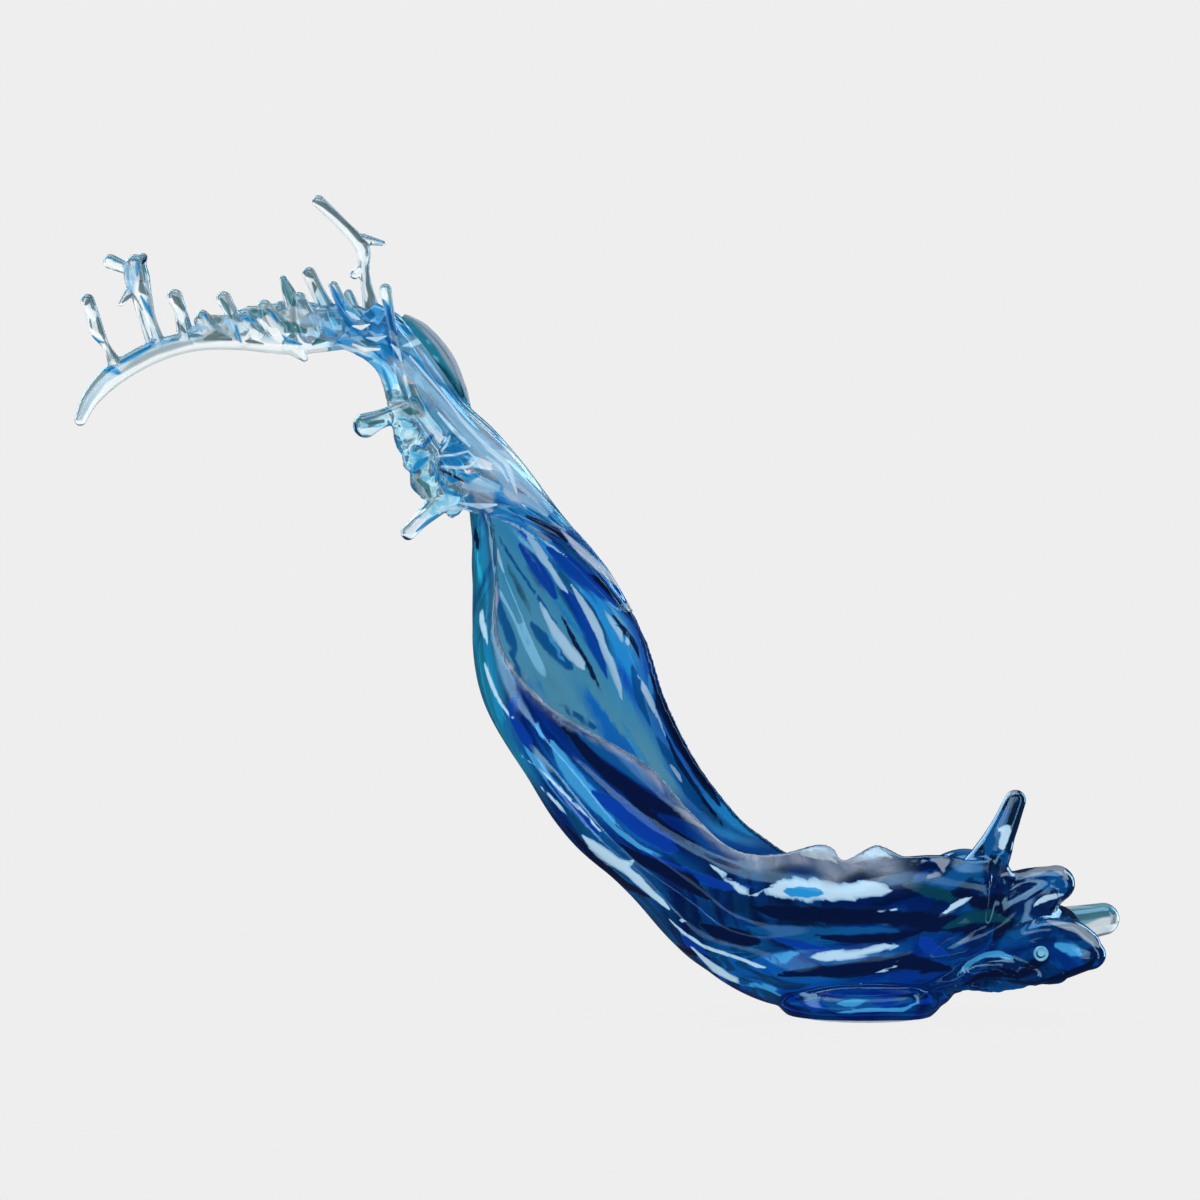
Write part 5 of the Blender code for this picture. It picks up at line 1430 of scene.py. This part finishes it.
def fanned(points, triangles):
    # a fan of folds where the ribbon was pinched
    fanX, fanZ = points[:, 0] - crest["fanX"], points[:, 2] - crest["fanZ"]
    far = np.hypot(fanX, fanZ)
    angle = np.arctan2(fanZ, fanX)
    fan = (within(far, *crest["fanReach"]) * (points[:, 1] < crest["fanFront"])
           * smoothStep(np.cos(angle + crest["fanTurn"]), *crest["fanOpen"]))
    normals = normalsOf(points, triangles)
    rays = np.cos(crest["fanRays"] * (angle + crest["fanTwist"] * far * far / crest["fanSize"]))
    return points + normals * (crest["fanHeight"] * fan * rays)[:, None], fan


# as for the body; a lean slants the border of a zone
crestZones = {
    "finAway": (0.002, 0.006), "finLean": 0.62, "finBorder": (-0.213, -0.207), "level": 0.33,
    "frillLean": 0.35, "frillBorder": (-0.262, -0.240), "frillHigh": (0.30, 0.38), "milk": 0.30,
    "fanClears": 0.8, "milkRows": (0.6, 2.0), "endClears": 0.6, "endRows": (6.5, 8.5),
    "jointRows": (0.1, 0.5, 1.3, 2.2),
}


def crestLayers(points, said, away, fan):
    zone = crestZones
    x, _, z = points.T
    along, across, row, _, _, isFin = said.T
    low, high = zone["frillHigh"]
    frill = (falling(x + zone["frillLean"] * (z - zone["level"]), *zone["frillBorder"])
             * (z < high) * (z > low))
    ribbon = isFin < 0.5
    return {
        "flow": np.stack([along, across, away], 1),
        "fin": (isFin * falling(away, *zone["finAway"])
                * falling(x + (z - zone["level"]) * zone["finLean"], *zone["finBorder"])),
        "frill": frill,
        "fan": fan,
        "milk": (zone["milk"] * ribbon * (1 - frill) * (1 - zone["fanClears"] * fan)
                 * smoothStep(row, *zone["milkRows"])
                 * (1 - zone["endClears"] * smoothStep(row, *zone["endRows"]))),
        "joint": within(row, *zone["jointRows"]) * ribbon,
    }


def paintCrest(wire, here, flow, used):
    mask = {name: wire.layer(name) for name in ("fin", "frill", "fan", "joint")}
    streak = flow.scaled((14.0, 80.0, 0.0)).grain(1.0, 3.0, 0.9)
    patch = here.grain(34.0, 2.0, 0.4)
    lilac = streak.between(0.42, 0.58).blend((0.84, 0.88, 0.95, 1), (0.30, 0.68, 0.93, 1))
    azure = patch.between(0.52, 0.60).blend(lilac, (0.07, 0.46, 0.84, 1))
    azure = mask["fan"].between(0.25, 0.7).blend(azure, (0.05, 0.50, 0.88, 1))
    fold = streak.between(0.55, 0.68).blend((0.004, 0.08, 0.40, 1), (0.14, 0.50, 0.84, 1))
    azure = mask["joint"].between(0.15, 0.6).blend(azure, fold)
    ruffle = here.grain(95.0, 2.0).between(0.45, 0.62).blend((0.62, 0.84, 0.90, 1), (0.10, 0.45, 0.72, 1))
    edged = mask["frill"].blend(azure, ruffle)
    spots = wire.make("ShaderNodeTexVoronoi", {}, {"Vector": flow.scaled((90.0, 190.0, 0.0)), "Scale": 1.0})
    finTint = patch.between(0.5, 0.6).blend((0.02, 0.22, 0.34, 1), (0.03, 0.38, 0.56, 1))
    finTint = spots.between(0.26, 0.20).blend(finTint, (0.30, 0.66, 0.88, 1))
    whole, laid = paintStreaks(wire, flow, mask["fin"].blend(edged, finTint), used, 0.3, 1.5)
    return whole, whole, cloudUnder(wire, flow, laid, 0.72, 0.12)


def makeCrest():
    ribbonRings, ribbonNotes = curledSheet(ribbonRows, crest["ribbon"])
    finRings, finNotes = curledSheet(finRows, crest["fin"])
    shells = [closedSheet(ribbonRings), closedSheet(finRings),
              crumpled(*closedTube(limbRings(frillRows, crest["limb"])), *crest["frillCrumple"]),
              crumpled(*closedTube(limbRings(knotRows, crest["limb"])), *crest["knotCrumple"])]
    shells += [drawnDrop(points, crest["dropSides"]) for points in cuffKnobs.values()]
    mesh, points, triangles = fuse("waveCrest", shells, crest)
    points, fan = fanned(points, triangles)
    ribbonMarks, finMarks = everyOther(ribbonRings), everyOther(finRings)
    facts = np.concatenate([everyOther(ribbonNotes), everyOther(finNotes)])
    isFin = np.repeat([0.0, 1.0], [len(ribbonMarks), len(finMarks)])
    said, away = nearestNotes(points, np.concatenate([ribbonMarks, finMarks]),
                              np.concatenate([facts, isFin[:, None]], 1))
    addLayers(mesh, crestLayers(points, said, away, fan))
    used = layStreaks(mesh, points, triangles, {"crest": 1 - said[:, 5], "fin": said[:, 5]})
    finishMesh(mesh, points, triangles)
    material = resin("lilacResin", crest["resin"], lambda *wires: paintCrest(*wires, used))
    keep("waveCrest", mesh, material,
         ["neck_ribbon", "crest_fin", "crown_knot", "cuff_frill", *cuffKnobs])


makeCrest()


# the arm, its web and every drip
armRows = [
    (-0.300, 0.0, 0.412, 0.009, 0.007), (-0.320, -0.001, 0.410, 0.0100, 0.0066),
    (-0.345, -0.003, 0.406, 0.0082, 0.0058), (-0.375, -0.007, 0.4065, 0.0060, 0.0052),
    (-0.402, -0.012, 0.4055, 0.0060, 0.0050), (-0.426, -0.018, 0.3985, 0.0066, 0.0048),
    (-0.448, -0.024, 0.3855, 0.0066, 0.0046), (-0.461, -0.029, 0.3715, 0.0052, 0.0042),
    (-0.467, -0.033, 0.3585, 0.0034, 0.0034),
]
webRows = [
    (-0.326, -0.001, 0.418, 0.008, 0.006), (-0.338, -0.002, 0.419, 0.012, 0.005),
    (-0.350, -0.004, 0.417, 0.012, 0.005), (-0.363, -0.006, 0.416, 0.012, 0.0045),
    (-0.378, -0.008, 0.413, 0.010, 0.0045), (-0.392, -0.010, 0.411, 0.009, 0.004),
    (-0.404, -0.012, 0.408, 0.005, 0.0035),
]
drips = {
    "tip_drip": [(-0.448, -0.024, 0.394, 0.0040), (-0.452, -0.024, 0.402, 0.0022),
                 (-0.4575, -0.024, 0.411, 0.0042), (-0.460, -0.023, 0.420, 0.0038),
                 (-0.4635, -0.023, 0.4295, 0.0042)],
    "antler_drip": [(-0.421, -0.017, 0.402, 0.0045), (-0.426, -0.016, 0.417, 0.0032),
                    (-0.430, -0.015, 0.430, 0.0046), (-0.4345, -0.015, 0.442, 0.0076),
                    (-0.4355, -0.015, 0.4510, 0.0064)],
    "antler_brace": [(-0.4275, -0.018, 0.404, 0.0024), (-0.433, -0.017, 0.421, 0.0016),
                     (-0.436, -0.015, 0.434, 0.0026)],
    "antler_spur": [(-0.437, -0.015, 0.438, 0.0036), (-0.4445, -0.014, 0.428, 0.0016)],
    "antler_ear_left": [(-0.440, -0.015, 0.4485, 0.0034), (-0.4505, -0.014, 0.453, 0.0045)],
    "antler_ear_right": [(-0.433, -0.015, 0.451, 0.0038), (-0.431, -0.015, 0.4555, 0.0026)],
    "short_drip_outer": [(-0.406, -0.012, 0.408, 0.0055), (-0.409, -0.012, 0.423, 0.0038),
                         (-0.4125, -0.012, 0.432, 0.0048)],
    "arm_bud": [(-0.390, -0.010, 0.412, 0.006), (-0.396, -0.010, 0.421, 0.0035)],
    "short_drip_inner": [(-0.372, -0.009, 0.408, 0.006), (-0.379, -0.010, 0.423, 0.004),
                         (-0.3835, -0.010, 0.431, 0.0046)],
    "web_spike": [(-0.338, -0.003, 0.416, 0.0075), (-0.344, -0.003, 0.432, 0.0045),
                  (-0.3485, -0.003, 0.443, 0.0022)],
    "under_cusp": [(-0.344, -0.003, 0.405, 0.0075), (-0.336, -0.004, 0.396, 0.0025)],
    "crown_spike_pale": [(-0.318, 0.004, 0.416, 0.0070), (-0.326, 0.005, 0.431, 0.0045),
                         (-0.3335, 0.005, 0.4465, 0.0040)],
    "crown_spike_blue": [(-0.300, -0.010, 0.413, 0.0050), (-0.312, -0.011, 0.427, 0.0038),
                         (-0.3180, -0.011, 0.4385, 0.0030)],
    "crown_spike_back": [(-0.305, 0.007, 0.420, 0.0045), (-0.310, 0.008, 0.4345, 0.0028)],
    "tall_splash": [(-0.294, 0.003, 0.414, 0.0075), (-0.2975, 0.003, 0.432, 0.0040),
                    (-0.3005, 0.003, 0.448, 0.0032), (-0.3015, 0.003, 0.462, 0.0042),
                    (-0.314, 0.002, 0.4765, 0.0034), (-0.3275, 0.001, 0.4895, 0.0038)],
    "splash_spur": [(-0.301, 0.003, 0.467, 0.0034), (-0.289, 0.003, 0.4645, 0.0016)],
    "splash_bud": [(-0.300, 0.003, 0.450, 0.0030), (-0.306, 0.003, 0.446, 0.0030)],
    "bead_drip": [(-0.2805, -0.011, 0.398, 0.0030), (-0.284, -0.011, 0.419, 0.0028),
                  (-0.287, -0.011, 0.4365, 0.0036)],
}

webLobes = [
    [(-0.350, -0.004, 0.412, 0.0080), (-0.357, -0.006, 0.421, 0.0065), (-0.3595, -0.006, 0.4262, 0.0045)],
    [(-0.365, -0.005, 0.410, 0.0070), (-0.3705, -0.009, 0.4185, 0.0050)],
    [(-0.333, -0.003, 0.412, 0.0090), (-0.337, -0.006, 0.423, 0.0070), (-0.3385, -0.006, 0.4310, 0.0042)],
    [(-0.392, -0.010, 0.409, 0.0055), (-0.3972, -0.010, 0.4178, 0.0042)],
    [(-0.322, -0.004, 0.414, 0.0085), (-0.324, -0.008, 0.421, 0.0060)],
]

arm = {
    "voxel": 0.00058, "creaseTurns": 40, "fillet": 0.0035, "smoothTurns": 5,
    "limb": {"steps": 90, "sides": 56, "dome": 10}, "webCrumple": (0.0014, 0.010, 5),
    "blueAlong": (-0.345, -0.312), "blueHigh": (0.432, 0.446), "shadeLean": 0.45, "shadeFacing": (-0.25, 0.35),
    "resin": {"ior": 1.46, "roughness": 0.010, "haze": 0.02, "hazeScale": 90.0, "shine": 0.45, "bump": 0.06,
              "depthColour": (0.82, 0.90, 0.90), "depth": 30.0},
}


def paintArm(wire, here, flow, used):
    # the upward-facing side is greyed and blued as painted shade, the underside near white as a painted
    # highlight
    patch = here.grain(38.0, 2.0, 0.5)
    shade = patch.between(0.46, 0.52).blend((0.55, 0.66, 0.68, 1), (0.40, 0.68, 0.86, 1))
    shade = patch.between(0.60, 0.66).blend(shade, (0.85, 0.92, 0.95, 1))
    clear = wire.layer("top").blend((0.95, 0.97, 0.98, 1), shade)
    crown = here.grain(60.0, 2.0).between(0.52, 0.62).blend((0.66, 0.90, 0.97, 1), (0.16, 0.60, 0.92, 1))
    under = wire.layer("blue").blend(clear, crown)
    whole, laid = paintStreaks(wire, flow.scaled((0.3, 0.3, 0.3)), under, used, 0.25, 2.2)
    return whole, whole, laid * 0.70 + 0.14


def makeArm():
    shells = [closedTube(limbRings(armRows, arm["limb"])),
              crumpled(*closedTube(limbRings(webRows, arm["limb"])), *arm["webCrumple"])]
    shells += [drawnDrop(points) for points in [*drips.values(), *webLobes]]
    mesh, points, triangles = fuse("waveArm", shells, arm)
    x, y, z = points.T
    normals = normalsOf(points, triangles)
    addLayers(mesh, {
        "flow": np.stack([-x, z, y], 1),
        "blue": smoothStep(x, *arm["blueAlong"]) * falling(z, *arm["blueHigh"]),
        # upward-facing skin, where the paint lays painted shade
        "top": smoothStep(normals[:, 2] + arm["shadeLean"] * normals[:, 0], *arm["shadeFacing"]),
    })
    used = layStreaks(mesh, points, triangles, {"arm": np.ones(len(points))})
    finishMesh(mesh, points, triangles)
    material = resin("clearResin", arm["resin"], lambda *wires: paintArm(*wires, used))
    keep("waveArm", mesh, material, ["crest_arm", "crown_web", "arm_pin", *drips])


makeArm()


# the clear finger behind the others
pale = {
    "stripe": (16.0, 60.0, 90.0), "dropSides": 40,
    "resin": {**arm["resin"], "depthColour": (0.70, 0.80, 0.84), "depth": 20.0},
}


def paintClearFinger(wire, here, flow):
    stripe = flow.scaled(pale["stripe"]).grain(1.0, 2.0, 0.5)
    tone = stripe.between(0.52, 0.60).blend((0.80, 0.86, 0.90, 1), (0.10, 0.34, 0.46, 1))
    return tone, tone, stripe * 0.5


def makeClearFinger():
    mesh, points, triangles = fuse("paleFinger", [drawnDrop(clearFinger, pale["dropSides"])], arm)
    addLayers(mesh, {"flow": points})
    finishMesh(mesh, points, triangles)
    material = resin("paleFingerResin", pale["resin"], paintClearFinger)
    keep("paleFinger", mesh, material, ["tail_finger_clear"])


makeClearFinger()


# the dowel in the low finger: radius and depth of its turned end, then the shank
lock = {
    "sides": 40, "shank": 0.0045, "centre": 0.00002, "sharpFrom": 0.6,
    "end": [(0.0, 0.0), (0.0016, 0.0), (0.0018, 0.0002), (0.0026, 0.0004), (0.0030, 0.0), (0.0041, 0.0),
            (0.0045, 0.0004)],
}


def makeLockPin():
    low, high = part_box("tail_lock_pin")
    centre = (low + high) / 2
    turn = 2 * np.pi * np.arange(lock["sides"]) / lock["sides"]
    profile = [(radius, low.y + inward) for radius, inward in lock["end"]] + [(lock["shank"], high.y)]
    rings = []
    for radius, y in profile:
        radius = max(radius, lock["centre"])
        rings.append(np.stack([centre.x + radius * np.cos(turn), np.full(lock["sides"], y),
                               centre.z + radius * np.sin(turn)], 1))
    mesh = meshFrom("lockPin", *closedTube(np.array(rings)))
    mesh.shade_smooth()
    mesh.set_sharp_from_angle(angle=lock["sharpFrom"])
    material, shader, wire = freshMaterial("dowelAcrylic")
    here = wire.place()
    tone = here.grain(300.0, 2.0).between(0.35, 0.65).blend((0.10, 0.36, 0.56, 1), (0.20, 0.52, 0.72, 1))
    feed(shader, {"Base Color": tone, "Roughness": here.grain(700.0, 2.0) * 0.12 + 0.10})
    keep("lockPin", mesh, material, ["tail_lock_pin"])


makeLockPin()


def dressPad():
    # the CAD pad under the foot stays, and only gets a silicone
    material, shader, wire = freshMaterial("siliconePad")
    here = wire.place()
    tone = here.grain(220.0, 3.0).between(0.3, 0.7).blend((0.50, 0.60, 0.70, 1), (0.62, 0.70, 0.78, 1))
    skin = wire.make("ShaderNodeBump", {}, {"Height": here.grain(1500.0, 2.0), "Strength": 0.2,
                                            "Distance": 0.0002})
    feed(shader, {"Base Color": tone, "Roughness": here.grain(900.0, 2.0) * 0.2 + 0.35, "Normal": skin})
    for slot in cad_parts["foot_pad"].material_slots:
        slot.material = material


dressPad()


# floor, world, light and camera
panels = [
    {"toward": (-0.12, -0.83, 0.55), "width": 0.60, "height": 0.20, "soft": 0.08, "power": 4.5},
    {"toward": (-0.84, -0.52, 0.08), "width": 0.16, "height": 0.80, "soft": 0.08, "power": 9.0},
    {"toward": (0.86, -0.48, 0.22), "width": 0.12, "height": 0.60, "soft": 0.06, "power": 7.0},
    {"toward": (-0.30, -0.74, -0.60), "width": 0.46, "height": 0.08, "soft": 0.05, "power": 2.5},
    {"toward": (0.0, -0.05, 0.99), "width": 0.60, "height": 0.26, "soft": 0.06, "power": 8.0},
    {"toward": (-0.60, 0.62, 0.50), "width": 0.34, "height": 0.34, "soft": 0.02, "power": 9.0},
    {"toward": (0.72, 0.60, 0.30), "width": 0.16, "height": 0.50, "soft": 0.02, "power": 9.0},
]


def makeFloor():
    sides = stage["floorSides"]
    turn = 2 * np.pi * np.arange(sides) / sides
    disc = [(stage["floorRadius"] * math.cos(a), stage["floorRadius"] * math.sin(a), 0.0) for a in turn]
    mesh = bpy.data.meshes.new("floor")
    mesh.from_pydata(disc, [], [list(range(sides))])
    material, shader, wire = freshMaterial("paleFloor")
    here = wire.place()
    reach = here.make("ShaderNodeVectorMath", {"operation": "LENGTH"}, {0: here}, 1)
    shade, speck = stage["tone"], stage["floorGrain"]
    grain = here.grain(40.0, 2.0).blend(grey(shade), (shade * speck, shade * speck, shade, 1))
    feed(shader, {"Base Color": grain, "Roughness": 0.9})
    glow = wire.make("ShaderNodeEmission", {}, {"Color": grain})
    matte = wire.make("ShaderNodeMixShader", {},
                      {0: stage["sheen"], 1: glow, 2: Wire(material.node_tree, shader.outputs[0])})
    clear = wire.make("ShaderNodeBsdfTransparent")
    faded = wire.make("ShaderNodeMixShader", {},
                      {0: reach.between(stage["fadeFrom"], stage["fadeTo"]), 1: matte, 2: clear})
    feed(material.node_tree.nodes["Material Output"], {"Surface": faded})
    mesh.materials.append(material)
    floor = placed("floor", mesh)
    floor.visible_glossy = False
    floor.visible_transmission = False


def panelLight(toward, panel):
    # a soft-edged rectangle of light far away in one direction
    centre = Vector(panel["toward"]).normalized()
    across = Vector((0, 0, 1)).cross(centre).normalized()
    upward = centre.cross(across)

    def along(axis):
        return toward.make("ShaderNodeVectorMath", {"operation": "DOT_PRODUCT"},
                           {0: toward, 1: tuple(axis)}, 1)

    ahead = along(centre)
    soft = panel["soft"]
    inside = ahead.between(0.0, 0.05)
    for axis, half in ((across, panel["width"]), (upward, panel["height"])):
        away = along(axis) / ahead
        away = away.sum("ABSOLUTE", away)
        inside = inside * away.between(half + soft, half - soft)
    return inside * panel["power"]


def makeWorld():
    world = bpy.data.worlds.new("studio")
    world.use_nodes = True
    world.node_tree.nodes.clear()
    wire = Wire(world.node_tree, None)
    toward = wire.make("ShaderNodeTexCoord", output=0)
    sideways, depthways, height = (
        wire.make("ShaderNodeSeparateXYZ", {}, {0: toward}, axis) for axis in range(3))
    turned = sideways.sum("ARCTAN2", sideways, depthways) * stage["stripes"]
    stripes = turned.sum("COSINE", turned)
    # behind the resin: a bright sweep with dark gaps, greyer below than above
    bright = stripes.between(*stage["stripeEdge"]) * (stage["band"] - stage["gap"]) + stage["gap"]
    bright = height.between(0.10, 0.16).blend(bright, grey(stage["above"]))
    bright = height.between(0.58, 0.62).blend(bright, grey(stage["gap"]))
    bright = height.between(-0.10, -0.24).blend(bright, (*stage["below"], 1))
    bright = height.between(-0.62, -0.70).blend(bright, (*stage["lowest"], 1))
    shine = 0.0
    for panel in panels:
        shine = panelLight(toward, panel) + shine
    red, green = stage["glare"]
    glare = wire.make("ShaderNodeCombineColor", {}, {
        0: shine * red + stage["dim"], 1: shine * green + stage["dim"], 2: shine + stage["dim"]})
    through = wire.make("ShaderNodeMix", {"data_type": "RGBA", "blend_type": "ADD"},
                        {0: stage["leak"], 6: bright, 7: glare}, 2)
    # the light path says whether a ray passed the resin, left a matte face or came from the camera
    passed, matte, seen = (wire.make("ShaderNodeLightPath", output=kind) for kind in (6, 2, 0))
    lit = matte.blend(passed.blend(glare, through), grey(stage["fill"]))
    background = wire.make("ShaderNodeBackground", {},
                           {"Color": seen.blend(lit, grey(stage["tone"])), "Strength": 1.0})
    out = world.node_tree.nodes.new("ShaderNodeOutputWorld")
    feed(out, {"Surface": background})
    world.cycles.sampling_method = "NONE"
    bpy.context.scene.world = world


def makeSoftbox(name, place, target, width, height, power):
    light = bpy.data.lights.new(name, "AREA")
    light.shape = "RECTANGLE"
    light.size, light.size_y = width, height
    light.energy = power
    holder = placed(name, light)
    holder.location = place
    holder.rotation_euler = (Vector(target) - Vector(place)).to_track_quat("-Z", "Y").to_euler()
    holder.visible_camera = False


def makeCamera():
    camera = bpy.data.cameras.new("view")
    camera.lens = stage["lens"]
    camera.sensor_width = 36.0
    camera.clip_end = 50.0
    holder = placed("view", camera)
    holder.location, back = lookFrom()
    holder.rotation_euler = (-back).to_track_quat("-Z", "Y").to_euler()
    bpy.context.scene.camera = holder


makeFloor()
makeWorld()
makeSoftbox("keyBox", (-0.9, -1.5, 1.5), (0, 0, 0.2), 0.9, 0.6, 4)
makeCamera()
bpy.context.scene.view_settings.view_transform = "Standard"
print("wave: stage ready")
